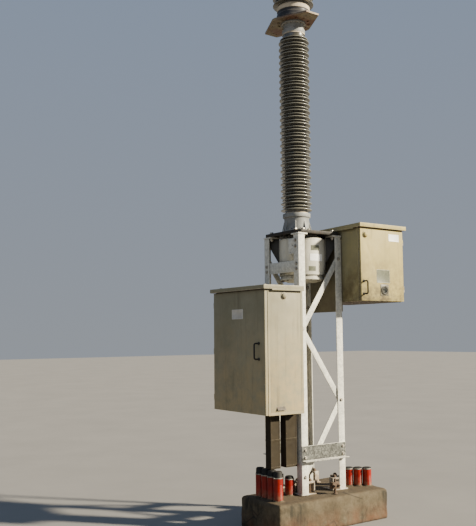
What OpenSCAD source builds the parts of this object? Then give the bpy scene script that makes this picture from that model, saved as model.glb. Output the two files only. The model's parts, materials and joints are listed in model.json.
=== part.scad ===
// One pole of a live-tank substation circuit breaker on its lattice stand and plinth.
// Millimetres, Z up, origin on the stand's axis at the underside of the plinth.
// The control cubicle is on the -X side, the drive cabinet on the +X side, the terminals point to -Y and +Y.

/* [Plinth] */
// Height above the ground
plinth_height = 300; // [200:10:500]
// Chamfer of the top edges
plinth_chamfer = 20; // [5:1:40]
// Plinth past the stand on the side of the drive cabinet's door
plinth_front = 215; // [150:5:400]
// Plinth past the stand on the far side
plinth_back = 45; // [45:5:300]
// Plinth past the stand under the drive cabinet
plinth_drive_side = 375; // [375:5:600]
// Plinth past the stand beside its wing
plinth_step = 65; // [45:5:150]
// Reach of the wing under the control cubicle, from the stand
plinth_wing_reach = 455; // [430:5:600]
// Far side of the wing, short of the stand's far side
plinth_wing_setback = 165; // [0:5:200]

/* [Stand] */
// Width over the leg angles
stand_width = 570; // [510:5:700]
// Height from plinth to pole base plate
stand_height = 2595; // [2400:5:3200]
// Flange width of a leg angle
leg_flange = 80; // [60:5:100]
// Thickness of a leg angle
leg_thickness = 8; // [6:1:12]
// Side of a foot plate
foot_side = 180; // [170:5:200]
// Thickness of a foot plate
foot_thickness = 12; // [8:1:20]
// Height of an anchor chair over the plinth
chair_height = 126; // [100:1:150]
// Side of a cap plate
cap_side = 120; // [115:5:140]
// Thickness of a cap plate
cap_thickness = 15; // [10:1:20]
// Width of a zigzag bar
brace_width = 60; // [45:1:70]
// Thickness of a zigzag bar
brace_thickness = 8; // [5:1:12]
// Highest zigzag bolt below the stand's top
brace_drop = 245; // [200:5:400]
// Lowest zigzag bolt above the plinth
brace_foot = 175; // [150:5:300]
// Zigzag bars on a side
brace_bars = 3; // [2:1:3]
// Height of a lower cross beam
beam_height = 150; // [100:5:200]
// Thickness of a lower cross beam
beam_thickness = 8; // [6:1:12]
// Outward lip of a lower cross beam
beam_lip = 55; // [30:5:80]
// Underside of a lower cross beam above the plinth
beam_level = 325; // [250:5:450]
// Height of the flat bar between the legs
side_bar_height = 115; // [80:5:140]
// Top of the flat bar below the stand's top
side_bar_drop = 280; // [260:5:400]
// Height of the knee plate beside the near leg
knee_height = 157; // [120:1:160]
// Width of the knee plate
knee_width = 155; // [120:5:200]
// Top of the knee plate below the stand's top
knee_drop = 52; // [50:1:80]

/* [Pole] */
// Offset of the pole from the stand axis, towards the cubicle
pole_offset = 70; // [0:5:100]
// Overhang of the base plate past the legs
base_overhang = 8; // [0:1:10]
// Thickness of the base plate
base_thickness = 32; // [20:1:50]
// Clearance between the mechanism drum and the leg angles
drum_clearance = 34; // [20:1:80]
// Height of the drum's shell
drum_height = 385; // [300:5:450]
// Neck between drum and base plate
drum_neck = 32; // [20:1:60]
// Height of the drum's bottom flange
drum_rim = 48; // [30:1:60]
// Height of a gusset between the drum and a leg's cap
gusset_height = 255; // [150:5:350]
// Height of the support column's bottom flange
foot_flange_height = 203; // [150:1:250]
// Radius of the support column's bottom flange
foot_flange_radius = 155; // [145:1:175]
// Length of the support insulator
support_length = 1960; // [1600:10:2400]
// Radius of a large support shed
support_shed = 164; // [150:1:190]
// Radius of a small support shed
support_small_shed = 150; // [135:1:149]
// Radius of the support insulator's core
support_core = 118; // [100:1:128]
// Distance from one large support shed to the next
support_pitch = 70; // [60:1:85]
// Height of the support column's top flange
head_flange_height = 125; // [90:1:160]
// Radius of the support column's top flange
head_flange_radius = 130; // [128:1:150]
// Height of the chamber's end flanges
chamber_flange_height = 105; // [80:1:140]
// Radius of the chamber's end flanges
chamber_flange_radius = 188; // [180:1:200]
// Height of the collar between flange and chamber sheds
collar_height = 45; // [30:1:60]
// Radius of that collar
collar_radius = 176; // [165:1:180]
// Length of the chamber insulator
chamber_length = 1800; // [1500:10:2200]
// Radius of a large chamber shed
chamber_shed = 220; // [205:1:240]
// Radius of a small chamber shed
chamber_small_shed = 204; // [190:1:204]
// Radius of the chamber insulator's core
chamber_core = 165; // [150:1:170]
// Distance from one large chamber shed to the next
chamber_pitch = 76; // [65:1:90]
// Height of the cap over the upper terminal
cap_height = 130; // [90:1:180]

/* [Terminals] */
// Reach of a terminal plate from the pole's axis, towards the drive door's side
terminal_front_reach = 320; // [300:5:450]
// Reach of a terminal plate from the pole's axis, towards the far side
terminal_back_reach = 400; // [300:5:450]
// Half width of a terminal plate, across its middle
terminal_half_width = 240; // [220:2:280]
// Width of a pad's end
pad_width = 165; // [150:5:220]
// Thickness of a terminal plate
terminal_thickness = 18; // [12:1:30]
// Spacing of the four holes in a pad
pad_hole_spacing = 50; // [40:1:60]
// Radius of a pad hole
pad_hole_radius = 7; // [5:0.5:9]

/* [Cabinets] */
// Width of the control cubicle
control_width = 884; // [700:2:1000]
// Depth of the control cubicle
control_depth = 468; // [380:2:600]
// Height of the control cubicle
control_height = 1200; // [900:5:1500]
// Underside of the control cubicle above the plinth
control_level = 804; // [700:2:950]
// Cubicle's near side ahead of the stand face
control_forward = 85; // [0:5:150]
// Depth of the rails between cubicle and legs
rail_depth = 30; // [20:1:60]
// Width of the drive cabinet
drive_width = 612; // [500:2:750]
// Depth of the drive cabinet
drive_depth = 852; // [700:2:1000]
// Height of the drive cabinet
drive_height = 759; // [600:1:800]
// Top of the drive cabinet above the stand's top
drive_rise = 63; // [50:1:120]
// Drive door ahead of the stand face
drive_forward = 282; // [150:2:350]
// Thickness of the plate that carries the drive cabinet
mount_plate_thickness = 14; // [12:1:20]
// Sheet thickness of the cabinets
sheet = 4; // [3:0.5:6]
// Depth of a folded door
door_depth = 28; // [20:1:40]
// Gap between a door and its housing
door_gap = 6; // [5.5:0.5:10]
// Width of the frame round a door opening
door_frame = 25; // [15:1:40]
// Overhang of a cabinet roof
roof_overhang = 30; // [10:1:50]
// Height of the cubicle's roof
control_roof_height = 40; // [25:1:60]
// Height of the drive cabinet's roof over its door
roof_high = 42; // [30:1:60]
// Height of the drive cabinet's roof at its far side
roof_low = 26; // [15:1:29]
// Radius of a hinge knuckle
knuckle_radius = 8; // [7:0.5:10]
// Height of a hinge knuckle
knuckle_height = 28; // [20:1:40]
// Radius of a hinge pin
pin_radius = 4; // [3:0.5:5]
// Radial clearance of a hinge pin
pin_clearance = 0.06; // [0.04:0.01:0.1]
// Length of the cubicle's bow handle between its feet
control_handle_length = 150; // [110:5:200]
// Length of the drive cabinet's bow handle between its feet
drive_handle_length = 130; // [110:5:200]
// Radius of a handle's rod
handle_radius = 8; // [6:0.5:10]
// Standoff of a handle from its door
handle_standoff = 58; // [40:1:70]

/* [Hidden] */
$fn = 64;
eps = 0.01;
deck = plinth_height;
leg_edge = stand_width / 2;
leg_inside = leg_edge - leg_thickness;
bolt_line = leg_edge - leg_flange / 2;
stand_top = deck + stand_height;
brace_rise = (stand_height - brace_drop - brace_foot) / brace_bars;
pole_x = -pole_offset;
base_top = stand_top + base_thickness;
support_bottom = base_top + foot_flange_height;
support_top = support_bottom + support_length;
terminal_bottom = support_top + head_flange_height;
chamber_flange_bottom = terminal_bottom + terminal_thickness;
chamber_bottom = chamber_flange_bottom + chamber_flange_height + collar_height;
chamber_top = chamber_bottom + chamber_length;
upper_terminal_bottom = chamber_top + collar_height + chamber_flange_height;
cap_bottom = upper_terminal_bottom + terminal_thickness;
drum_radius = leg_inside - drum_clearance;
drum_top = stand_top - drum_neck;
drum_bottom = drum_top - drum_height - drum_rim;
leg_root = 5;
seat = 0.3;

// bolts
pole_bolt_radius = 12;
pole_bolt_place = [leg_thickness + 24, leg_flange + 8];
anchor_radius = 12;
anchor_place = [leg_flange + 42, leg_thickness + 28];
anchor_rise = 24;
hole_play = 1;

// sheds
shed_tip = 8;
shed_angle = 20;
shed_under_angle = 8;
shed_root = 5;

// hinges
hinge_reach = 5 + knuckle_radius;
hinge_margin = 130;
leaf_length = 42;
knuckle_gap = 0.3;

// cabinets in their own frames: the door's face at y = 0, its hinges at x = width
control_x = -(leg_edge + rail_depth + control_depth);
control_y = -(leg_edge + control_forward);
drive_x = leg_edge + mount_plate_thickness;
drive_y = -(leg_edge + drive_forward);
drive_level = stand_height + drive_rise - drive_height;

// The plinth and what stands on it

module plinth() {
    near = -leg_edge - plinth_front;
    wing_end = -leg_edge - plinth_step + 2 * plinth_chamfer;
    color("darkgray") {
        chamfered_block(-leg_edge - plinth_step, near, leg_edge + plinth_drive_side, leg_edge + plinth_back);
        chamfered_block(-leg_edge - plinth_wing_reach, near, wing_end, leg_edge - plinth_wing_setback);
    }
}

// a block on the ground between two corners of its plan, with chamfered top edges
module chamfered_block(x1, y1, x2, y2) {
    translate([(x1 + x2) / 2, (y1 + y2) / 2, 0])
    intersection() {
        rotate([90, 0, 90])
        linear_extrude(x2 - x1, center = true)
        plinth_section(y2 - y1);
        rotate([90, 0, 0])
        linear_extrude(y2 - y1, center = true)
        plinth_section(x2 - x1);
    }
}

module plinth_section(width) {
    polygon([
        [-width / 2, 0],
        [width / 2, 0],
        [width / 2, deck - plinth_chamfer],
        [width / 2 - plinth_chamfer, deck],
        [-width / 2 + plinth_chamfer, deck],
        [-width / 2, deck - plinth_chamfer]
    ]);
}

module hex(radius, height) {
    cylinder(r = radius, h = height, $fn = 6);
}

// its children at both bolt places of each leg, measured from the leg's outer corner
module at_leg_bolts(place) {
    for (x = [-1, 1])
    for (y = [-1, 1])
    for (p = [place, [place[1], place[0]]])
    translate([x * (leg_edge - p[0]), y * (leg_edge - p[1]), 0])
    children();
}

module anchor_bolts() {
    color("dimgray")
    at_leg_bolts(anchor_place) {
        translate([0, 0, deck + foot_thickness])
        cylinder(r = anchor_radius, h = chair_height - foot_thickness + anchor_rise);
        translate([0, 0, deck + chair_height]) {
            cylinder(r = 1.9 * anchor_radius, h = 3);
            hex(1.7 * anchor_radius, 16);
        }
    }
}

// conduit stubs cast into the plinth, sealed at their rims
stub_radius = 46;
stub_wall = 5;
stub_spacing = 94;
stub_recess = 30;
stub_left_height = 212;
stub_right_height = 150;
stub_left_count = 4;
stub_left = [control_x + 163, control_y + 40];
stub_single = [control_x + 431, control_y + 205];
stub_right_count = 3;
stub_right = [leg_edge + 156, -leg_edge + 122];
stub_right_step = stub_spacing * [cos(37.5), -sin(37.5)];
seal_left_height = 68;
seal_right_height = 35;

module at_left_stubs() {
    for (i = [0 : stub_left_count - 1])
    translate([stub_left[0], stub_left[1] + i * stub_spacing, deck])
    children();
}

module at_right_stubs() {
    for (i = [0 : stub_right_count - 1])
    translate([stub_right[0] + i * stub_right_step[0], stub_right[1] + i * stub_right_step[1], deck])
    children();
}

module stub(height) {
    difference() {
        cylinder(r = stub_radius, h = height);
        translate([0, 0, height - stub_recess])
        cylinder(r = stub_radius - stub_wall, h = stub_recess + 1);
    }
}

module conduit_stubs_left() {
    color("orangered") {
        at_left_stubs() stub(stub_left_height);
        translate([stub_single[0], stub_single[1], deck])
        stub(stub_right_height);
    }
}

module conduit_stubs_right() {
    color("orangered")
    at_right_stubs() stub(stub_right_height);
}

// a rubber end cap on a stub's rim, with a spigot inside it
module seal(stub_height, height) {
    spigot = stub_radius - stub_wall - 0.3;
    translate([0, 0, stub_height])
    rotate_extrude()
    polygon([
        [0, 6 - stub_recess],
        [spigot - 4, 6 - stub_recess],
        [spigot, 12 - stub_recess],
        [spigot, 0],
        [stub_radius, 0],
        [stub_radius, 14],
        [stub_radius - 3, 18],
        [stub_radius - 6, height - 8],
        [stub_radius - 14, height],
        [0, height]
    ]);
}

module conduit_seals() {
    color("black") {
        at_left_stubs() seal(stub_left_height, seal_left_height);
        translate([stub_single[0], stub_single[1], deck])
        seal(stub_right_height, seal_right_height);
        at_right_stubs() seal(stub_right_height, seal_right_height);
    }
}

stud_place = [leg_edge - 250, -leg_edge - 115];
stud_radius = 12;
stud_height = 150;
clamp_size = [90, 40, 60];
clamp_level = 55;

// an earthing stud beside the stand, with a two-part clamp on it
module earth_stud() {
    color("dimgray")
    translate([stud_place[0], stud_place[1], deck]) {
        cylinder(r = 2 * stud_radius, h = 10);
        cylinder(r = stud_radius, h = stud_height);
        translate([0, 0, clamp_level]) {
            translate([-clamp_size[0] / 2, -clamp_size[1] / 2, 0])
            cube(clamp_size);
            for (side = [-1, 1])
            translate([side * (clamp_size[0] / 2 - 16), clamp_size[1] / 2 + 8, clamp_size[2] / 2])
            rotate([90, 0, 0]) {
                hex(15, clamp_size[1] + 16);
                cylinder(r = 8, h = clamp_size[1] + 30);
            }
        }
    }
}

// The stand

// a leg with its outer corner on the z axis: foot, anchor chairs, angle and cap
module leg() {
    foot_out = 15;
    cap_out = 5;
    angle_height = stand_height - foot_thickness - cap_thickness;
    translate([0, 0, deck]) {
        translate([-foot_out, -foot_out, 0])
        cube([foot_side, foot_side, foot_thickness]);
        translate([0, 0, foot_thickness])
        linear_extrude(angle_height)
        angle_section(leg_flange, leg_thickness, leg_root);
        anchor_chair();
        mirror([1, -1, 0])
        anchor_chair();
        translate([0, 0, stand_height - cap_thickness])
        difference() {
            translate([-cap_out, -cap_out, 0])
            cube([cap_side, cap_side, cap_thickness]);
            for (p = [pole_bolt_place, [pole_bolt_place[1], pole_bolt_place[0]]])
            translate([p[0], p[1], -1])
            cylinder(r = pole_bolt_radius + hole_play, h = cap_thickness + 2);
        }
    }
}

module angle_section(flange, thickness, root) {
    difference() {
        square(flange);
        translate([thickness, thickness])
        square(flange);
    }
    translate([thickness, thickness])
    difference() {
        square(root);
        translate([root, root])
        circle(root);
    }
}

// a raised plate on two webs that carries an anchor bolt's nut, beside the leg's flange
module anchor_chair() {
    plate = 18;
    web = 8;
    start = leg_flange;
    width = foot_side - 15 - start;
    depth = 2 * (anchor_place[1] - leg_thickness);
    translate([start, leg_thickness, foot_thickness]) {
        for (x = [-web, width - web])
        translate([x, 0, 0])
        cube([web, depth, chair_height - foot_thickness - plate]);
        difference() {
            translate([-web, 0, chair_height - foot_thickness - plate])
            cube([width + web, depth, plate]);
            translate([anchor_place[0] - start, anchor_place[1] - leg_thickness, 0])
            cylinder(r = anchor_radius + hole_play, h = chair_height);
        }
    }
}

module leg_front_left() {
    color("silver") translate([-leg_edge, -leg_edge, 0]) leg();
}

module leg_front_right() {
    color("silver") translate([leg_edge, -leg_edge, 0]) mirror([1, 0, 0]) leg();
}

module leg_back_left() {
    color("silver") translate([-leg_edge, leg_edge, 0]) mirror([0, 1, 0]) leg();
}

module leg_back_right() {
    color("silver") translate([leg_edge, leg_edge, 0]) rotate([0, 0, 180]) leg();
}

// a flat bar between two bolts, with round ends
module flat_bar(from, to, width) {
    run = to - from;
    translate(from)
    rotate([0, 0, atan2(run[1], run[0])])
    translate([0, -width / 2])
    square([norm(run), width]);
    for (p = [from, to])
    translate(p)
    circle(width / 2);
}

// the zigzag inside the -Y flanges, from the +X leg down: neighbours share a bolt, one behind the other
module zigzag() {
    reach = leg_inside - leg_root - 2;
    for (i = [0 : brace_bars - 1]) {
        side = i % 2 == 0 ? 1 : -1;
        top = deck + stand_height - brace_drop - i * brace_rise;
        translate([0, -leg_inside + (i % 2) * (brace_thickness + seat), 0])
        rotate([90, 0, 0])
        mirror([0, 0, 1])
        linear_extrude(brace_thickness)
        intersection() {
            flat_bar([side * bolt_line, top], [-side * bolt_line, top - brace_rise], brace_width);
            translate([-reach, 0])
            square([2 * reach, stand_top]);
        }
    }
}

module braces_front() {
    color("gainsboro") zigzag();
}

module braces_back() {
    color("gainsboro") rotate([0, 0, 180]) zigzag();
}

module cross_beam() {
    color("lightgray")
    translate([-leg_edge, -leg_edge - beam_thickness, deck + beam_level]) {
        cube([stand_width, beam_thickness, beam_height]);
        translate([0, -beam_lip, 0])
        cube([stand_width, beam_lip + eps, beam_thickness]);
    }
}

module beam_front() {
    cross_beam();
}

module beam_back() {
    rotate([0, 0, 180]) cross_beam();
}

side_bar_thickness = 8;
side_bar_half = leg_inside - brace_thickness - 2;

module side_bar() {
    color("lightgray")
    translate([-leg_inside, -side_bar_half, stand_top - side_bar_drop - side_bar_height])
    cube([side_bar_thickness, 2 * side_bar_half, side_bar_height]);
}

knee_holes = [[-174, 84], [-146, 18]];
knee_hole_radius = 7;

// a plate inside the near leg's flange, with two spare holes
module knee_plate() {
    bottom = stand_top - knee_drop - knee_height;
    color("lightgray")
    difference() {
        translate([-leg_inside, -side_bar_half, bottom])
        cube([side_bar_thickness, knee_width, knee_height]);
        for (h = knee_holes)
        translate([-leg_inside - 1, h[0], bottom + h[1]])
        rotate([0, 90, 0])
        cylinder(r = knee_hole_radius, h = side_bar_thickness + 2);
    }
}

rail_height = 60;
rail_inset = 120;

module cubicle_rails() {
    color("silver")
    for (z = [rail_inset, control_height - rail_inset - rail_height])
    translate([-leg_edge - rail_depth, -leg_edge, deck + control_level + z])
    rotate([-90, 0, 0])
    translate([0, -rail_height, 0])
    linear_extrude(stand_width)
    difference() {
        square([rail_depth, rail_height]);
        translate([5, 5])
        square([rail_depth - 10, rail_height]);
    }
}

module drive_mount_plate() {
    plate_bottom = drive_level - 98;
    plate_top = stand_height - 44;
    color("dimgray")
    translate([leg_edge, -leg_edge, deck + plate_bottom])
    cube([mount_plate_thickness, stand_width, plate_top - plate_bottom]);
}

// The cabinets, in the local frame of their doors

module to_control() {
    translate([control_x, control_y, deck + control_level])
    mirror([1, -1, 0])
    children();
}

module to_drive() {
    translate([drive_x, drive_y, deck + drive_level])
    children();
}

// a housing of sheets, each a seat from its neighbours: back, sides, floor, top, and the frame round the opening
module housing(width, depth, height) {
    front = door_depth + door_gap;
    inner = sheet + seat;
    run = depth - sheet - seat - front;
    translate([0, depth - sheet, 0])
    cube([width, sheet, height]);
    for (x = [0, width - sheet])
    translate([x, front, 0])
    cube([sheet, run, height]);
    for (z = [0, height - sheet])
    translate([inner, front, z])
    cube([width - 2 * inner, run, sheet]);
    for (x = [inner, width - door_frame])
    translate([x, front, inner])
    cube([door_frame - inner, sheet, height - 2 * inner]);
    for (z = [inner, height - door_frame])
    translate([door_frame + seat, front, z])
    cube([width - 2 * (door_frame + seat), sheet, door_frame - inner]);
}

// a sheet door with a rim of strips, its open side to the housing
module door_pan(width, height) {
    inner = sheet + seat;
    translate([0, 0, door_gap])
    cube([width, sheet, height - 2 * door_gap]);
    for (x = [0, width - sheet])
    translate([x, inner, door_gap])
    cube([sheet, door_depth - inner, height - 2 * door_gap]);
    for (z = [door_gap, height - door_gap - sheet])
    translate([inner, inner, z])
    cube([width - 2 * inner, door_depth - inner, sheet]);
}

function hinge_levels(height, count) =
    [for (i = [0 : count - 1]) hinge_margin + i * (height - 2 * hinge_margin) / (count - 1)];

// the door's knuckles, over the fixed ones
module door_knuckles(width, height, count) {
    for (z = hinge_levels(height, count))
    translate([width, 0, z + knuckle_gap])
    difference() {
        union() {
            translate([seat, door_depth / 2 - knuckle_radius, 0])
            cube([hinge_reach - seat, 2 * knuckle_radius, knuckle_height]);
            translate([hinge_reach, door_depth / 2, 0])
            cylinder(r = knuckle_radius, h = knuckle_height);
        }
        translate([hinge_reach, door_depth / 2, -1])
        cylinder(r = pin_radius + pin_clearance, h = knuckle_height + 2);
    }
}

// the housing's knuckles with their pins, and the leaves that carry them
module fixed_hinges(width, height, count) {
    for (z = hinge_levels(height, count))
    translate([width, door_depth / 2, z - knuckle_height]) {
        translate([hinge_reach, 0, 0]) {
            cylinder(r = knuckle_radius, h = knuckle_height);
            cylinder(r = pin_radius, h = 2 * knuckle_height + 6);
        }
        translate([5, 0, 0])
        cube([hinge_reach - 5, door_depth / 2 + door_gap + 12, knuckle_height]);
        translate([0, door_depth / 2 + door_gap, 0])
        cube([5 + eps, leaf_length, knuckle_height]);
    }
}

// a roof over a box, with its high edge over the door
module roof(width, depth, height, high, low) {
    translate([-roof_overhang, 0, height])
    rotate([90, 0, 90])
    linear_extrude(width + 2 * roof_overhang)
    polygon([
        [-roof_overhang, 0],
        [depth + roof_overhang, 0],
        [depth + roof_overhang, low],
        [-roof_overhang, high]
    ]);
}

// a rod bent to a bow, standing off along -Y with its grip along Z
module bow_handle(length) {
    bend = 2.2 * handle_radius;
    reach = handle_standoff - bend;
    for (side = [-1, 1]) {
        translate([0, 0, side * length / 2])
        rotate([90, 0, 0]) {
            cylinder(r = handle_radius, h = reach);
            cylinder(r = 1.8 * handle_radius, h = 5);
        }
        translate([0, -reach, side * (length / 2 - bend)])
        rotate([0, 90, 0])
        rotate([0, 0, side > 0 ? 180 : 270])
        rotate_extrude(angle = 90)
        translate([bend, 0])
        circle(handle_radius);
    }
    translate([0, -handle_standoff, -length / 2 + bend])
    cylinder(r = handle_radius, h = length - 2 * bend);
}

// a rain hood over a round breather, on a wall at y = 0
module dome_vent(radius) {
    rotate([90, 0, 0])
    rotate_extrude()
    polygon(concat(
        [[0, 0], [radius, 0], [radius, 4]],
        [for (a = [0 : 15 : 90]) [0.82 * radius * cos(a), 4 + 0.6 * radius * sin(a)]]
    ));
}

control_hinge_count = 3;
drive_hinge_count = 2;

module control_housing() {
    color("tan") to_control() housing(control_width, control_depth, control_height);
}

module control_roof() {
    color("burlywood")
    to_control()
    roof(control_width, control_depth - roof_overhang, control_height, control_roof_height, control_roof_height);
}

module control_hinges() {
    color("gray") to_control() fixed_hinges(control_width, control_height, control_hinge_count);
}

vent_radius = 36;
vent_drop = 64;
vent_back = 231;
hood_length = 100;
hood_height = 34;
hood_depth = 20;
hood_rise = 48;
hood_back = 130;

module control_vents() {
    color("gray")
    translate([control_x, control_y, deck + control_level]) {
        translate([vent_back, 0, control_height - vent_drop])
        dome_vent(vent_radius);
        translate([hood_back, 0, hood_rise])
        rotate([0, 90, 0])
        linear_extrude(hood_length)
        polygon([[0, 0], [-hood_height, 0], [0, -hood_depth]]);
    }
}

duct_places = [143, 328];
duct_widths = [112, 135];
duct_forward = 120;
duct_depth = 85;
duct_bottom = stub_left_height + seal_left_height + 5;

// cable ducts under the cubicle, open towards the stubs' sealed ends
module cable_ducts() {
    wall = 3;
    height = control_level - duct_bottom;
    color("rosybrown")
    for (i = [0 : len(duct_places) - 1])
    translate([control_x + duct_places[i], control_y + duct_forward, deck + duct_bottom])
    difference() {
        cube([duct_widths[i], duct_depth, height]);
        translate([wall, wall, -1])
        cube([duct_widths[i] - 2 * wall, duct_depth - 2 * wall, height - wall + 1]);
    }
}

module control_door() {
    color("wheat")
    to_control() {
        door_pan(control_width, control_height);
        door_knuckles(control_width, control_height, control_hinge_count);
    }
}

control_handle_inset = 98;
control_handle_rise = 6;
drive_handle_inset = 33;
drive_handle_level = 140;

module control_handle() {
    color("black")
    to_control()
    translate([control_handle_inset, 0, control_height / 2 + control_handle_rise])
    bow_handle(control_handle_length);
}

module drive_housing() {
    color("tan") to_drive() housing(drive_width, drive_depth, drive_height);
}

module drive_roof() {
    color("burlywood")
    to_drive()
    roof(drive_width, drive_depth, drive_height, roof_high, roof_low);
}

module drive_hinges() {
    color("gray") to_drive() fixed_hinges(drive_width, drive_height, drive_hinge_count);
}

module drive_door() {
    color("wheat")
    to_drive()
    difference() {
        union() {
            door_pan(drive_width, drive_height);
            door_knuckles(drive_width, drive_height, drive_hinge_count);
        }
        translate([window_x, 0, window_z])
        rotate([90, 0, 0])
        cylinder(r = window_radius, h = 4 * sheet, center = true);
    }
}

module drive_handle() {
    color("black")
    to_drive()
    translate([drive_handle_inset, 0, drive_handle_level])
    bow_handle(drive_handle_length);
}

drive_vent_radius = 36;
drive_vent_inset = 65;
drive_vent_drop = 76;

module drive_vent() {
    color("gray")
    to_drive()
    translate([drive_vent_inset, 0, drive_height - drive_vent_drop])
    dome_vent(drive_vent_radius);
}

window_x = 326;
window_z = 118;
window_radius = 32;
bezel_side = 120;
bezel_radius = 48;

module drive_window_frame() {
    color("dimgray")
    to_drive()
    translate([window_x, 0, window_z])
    rotate([90, 0, 0])
    difference() {
        union() {
            translate([-bezel_side / 2, -bezel_side / 2, 0])
            cube([bezel_side, bezel_side, 3]);
            cylinder(r = bezel_radius, h = 10);
        }
        translate([0, 0, -1])
        cylinder(r = window_radius, h = 12);
    }
}

module drive_window_glass() {
    color("lightblue")
    to_drive()
    translate([window_x, 0, window_z])
    rotate([90, 0, 0])
    cylinder(r = window_radius, h = 5);
}

// The pole

module pole_base_plate() {
    side = stand_width + 2 * base_overhang;
    corner = 45;
    color("dimgray")
    translate([0, 0, stand_top])
    linear_extrude(base_thickness)
    difference() {
        polygon([
            for (a = [0 : 90 : 270])
            for (p = [[side / 2, corner - side / 2], [side / 2, side / 2 - corner]])
            [p[0] * cos(a) - p[1] * sin(a), p[0] * sin(a) + p[1] * cos(a)]
        ]);
        at_leg_bolts(pole_bolt_place)
        circle(pole_bolt_radius + hole_play);
    }
}

module pole_bolts() {
    grip = cap_thickness + base_thickness;
    nut = 0.85 * 2 * pole_bolt_radius;
    color("silver")
    at_leg_bolts(pole_bolt_place)
    translate([0, 0, stand_top - cap_thickness]) {
        translate([0, 0, -nut])
        hex(1.7 * pole_bolt_radius, nut);
        translate([0, 0, -nut - 12])
        cylinder(r = pole_bolt_radius, h = grip + 2 * nut);
        translate([0, 0, grip])
        hex(1.7 * pole_bolt_radius, nut);
    }
}

drum_neck_radius = 180;
drum_dish_radius = 150;

// the drum with a diagonal gusset towards each leg's cap
module mechanism_drum() {
    edge = 12;
    shell_bottom = drum_top - drum_height;
    gusset_top = stand_top - cap_thickness;
    gusset_reach = (leg_inside - 9) * sqrt(2);
    gusset_thickness = 10;
    color("slategray") {
        rotate_extrude()
        polygon(concat(
            [[0, drum_bottom - 18], [drum_dish_radius, drum_bottom - 18], [drum_radius - 40, drum_bottom]],
            [[drum_radius - 3, drum_bottom], [drum_radius - 3, drum_bottom + 18]],
            [[drum_radius - 14, drum_bottom + 22], [drum_radius - 14, shell_bottom]],
            [[drum_radius, shell_bottom]],
            [for (a = [0 : 15 : 90]) [drum_radius - edge + edge * cos(a), drum_top - edge + edge * sin(a)]],
            [[drum_neck_radius, drum_top], [drum_neck_radius, stand_top], [0, stand_top]]
        ));
        for (a = [45 : 90 : 315])
        rotate([90, 0, a])
        linear_extrude(gusset_thickness, center = true)
        polygon([
            [drum_radius - 2, gusset_top - gusset_height],
            [drum_radius + 12, gusset_top - gusset_height],
            [gusset_reach, gusset_top - 30],
            [gusset_reach, gusset_top],
            [drum_radius - 2, gusset_top],
        ]);
    }
}

module support_bottom_flange() {
    plate = 26;
    collar = 38;
    collar_reach = foot_flange_radius - 10;
    barrel = support_core + 12;
    rib_height = 95;
    rib = 12;
    color("gray")
    translate([pole_x, 0, base_top]) {
        rotate_extrude()
        polygon([
            [0, 0],
            [foot_flange_radius, 0],
            [foot_flange_radius, plate],
            [barrel, plate],
            [barrel, foot_flange_height - collar - 12],
            [collar_reach, foot_flange_height - collar],
            [collar_reach, foot_flange_height],
            [0, foot_flange_height]
        ]);
        for (a = [0 : 45 : 315])
        rotate([90, 0, a])
        linear_extrude(rib, center = true)
        polygon([
            [barrel - 5, plate - 1],
            [foot_flange_radius - 2, plate - 1],
            [foot_flange_radius - 2, plate + 10],
            [barrel + 3, plate + rib_height],
            [barrel - 5, plate + rib_height]
        ]);
    }
}

// one shed's outline from its root up: filleted root, drooping underside, round tip, sloping top
function shed(root, tip, z) =
    let (
        lip = shed_tip / 2,
        under = (tip - root) * tan(shed_under_angle),
        over = (tip - root) * tan(shed_angle),
        low = z + under,
        high = z + shed_tip + over
    )
    concat(
        [[root, low - shed_root], [root + 0.3 * shed_root, low - 0.3 * shed_root], [root + shed_root, low]],
        [for (a = [-75 : 50 : 75]) [tip - lip + lip * cos(a), z + lip + lip * sin(a)]],
        [[root + shed_root, high - 2], [root + 0.3 * shed_root, high + 0.3 * shed_root], [root, high + shed_root]]
    );

// alternate large and small sheds on a core, as the outline of a turned body
module insulator(length, core, large, small, pitch) {
    pairs = floor((length - 4 * shed_root) / pitch);
    start = (length - pairs * pitch) / 2;
    rotate_extrude()
    polygon(concat(
        [[0, 0], [core, 0]],
        [
            for (i = [0 : pairs - 1])
            for (p = concat(
                shed(core, large, start + i * pitch),
                shed(core, small, start + (i + 0.5) * pitch)
            ))
            p
        ],
        [[core, length], [0, length]]
    ));
}

module support_insulator() {
    color("saddlebrown")
    translate([pole_x, 0, support_bottom])
    insulator(support_length, support_core, support_shed, support_small_shed, support_pitch);
}

module support_top_flange() {
    collar = 40;
    plate = 22;
    color("gray")
    translate([pole_x, 0, support_top])
    rotate_extrude()
    polygon([
        [0, 0],
        [head_flange_radius - 8, 0],
        [head_flange_radius - 8, collar],
        [head_flange_radius - 22, collar + 10],
        [head_flange_radius - 22, head_flange_height - plate],
        [head_flange_radius, head_flange_height - plate],
        [head_flange_radius, head_flange_height],
        [0, head_flange_height]
    ]);
}

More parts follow.
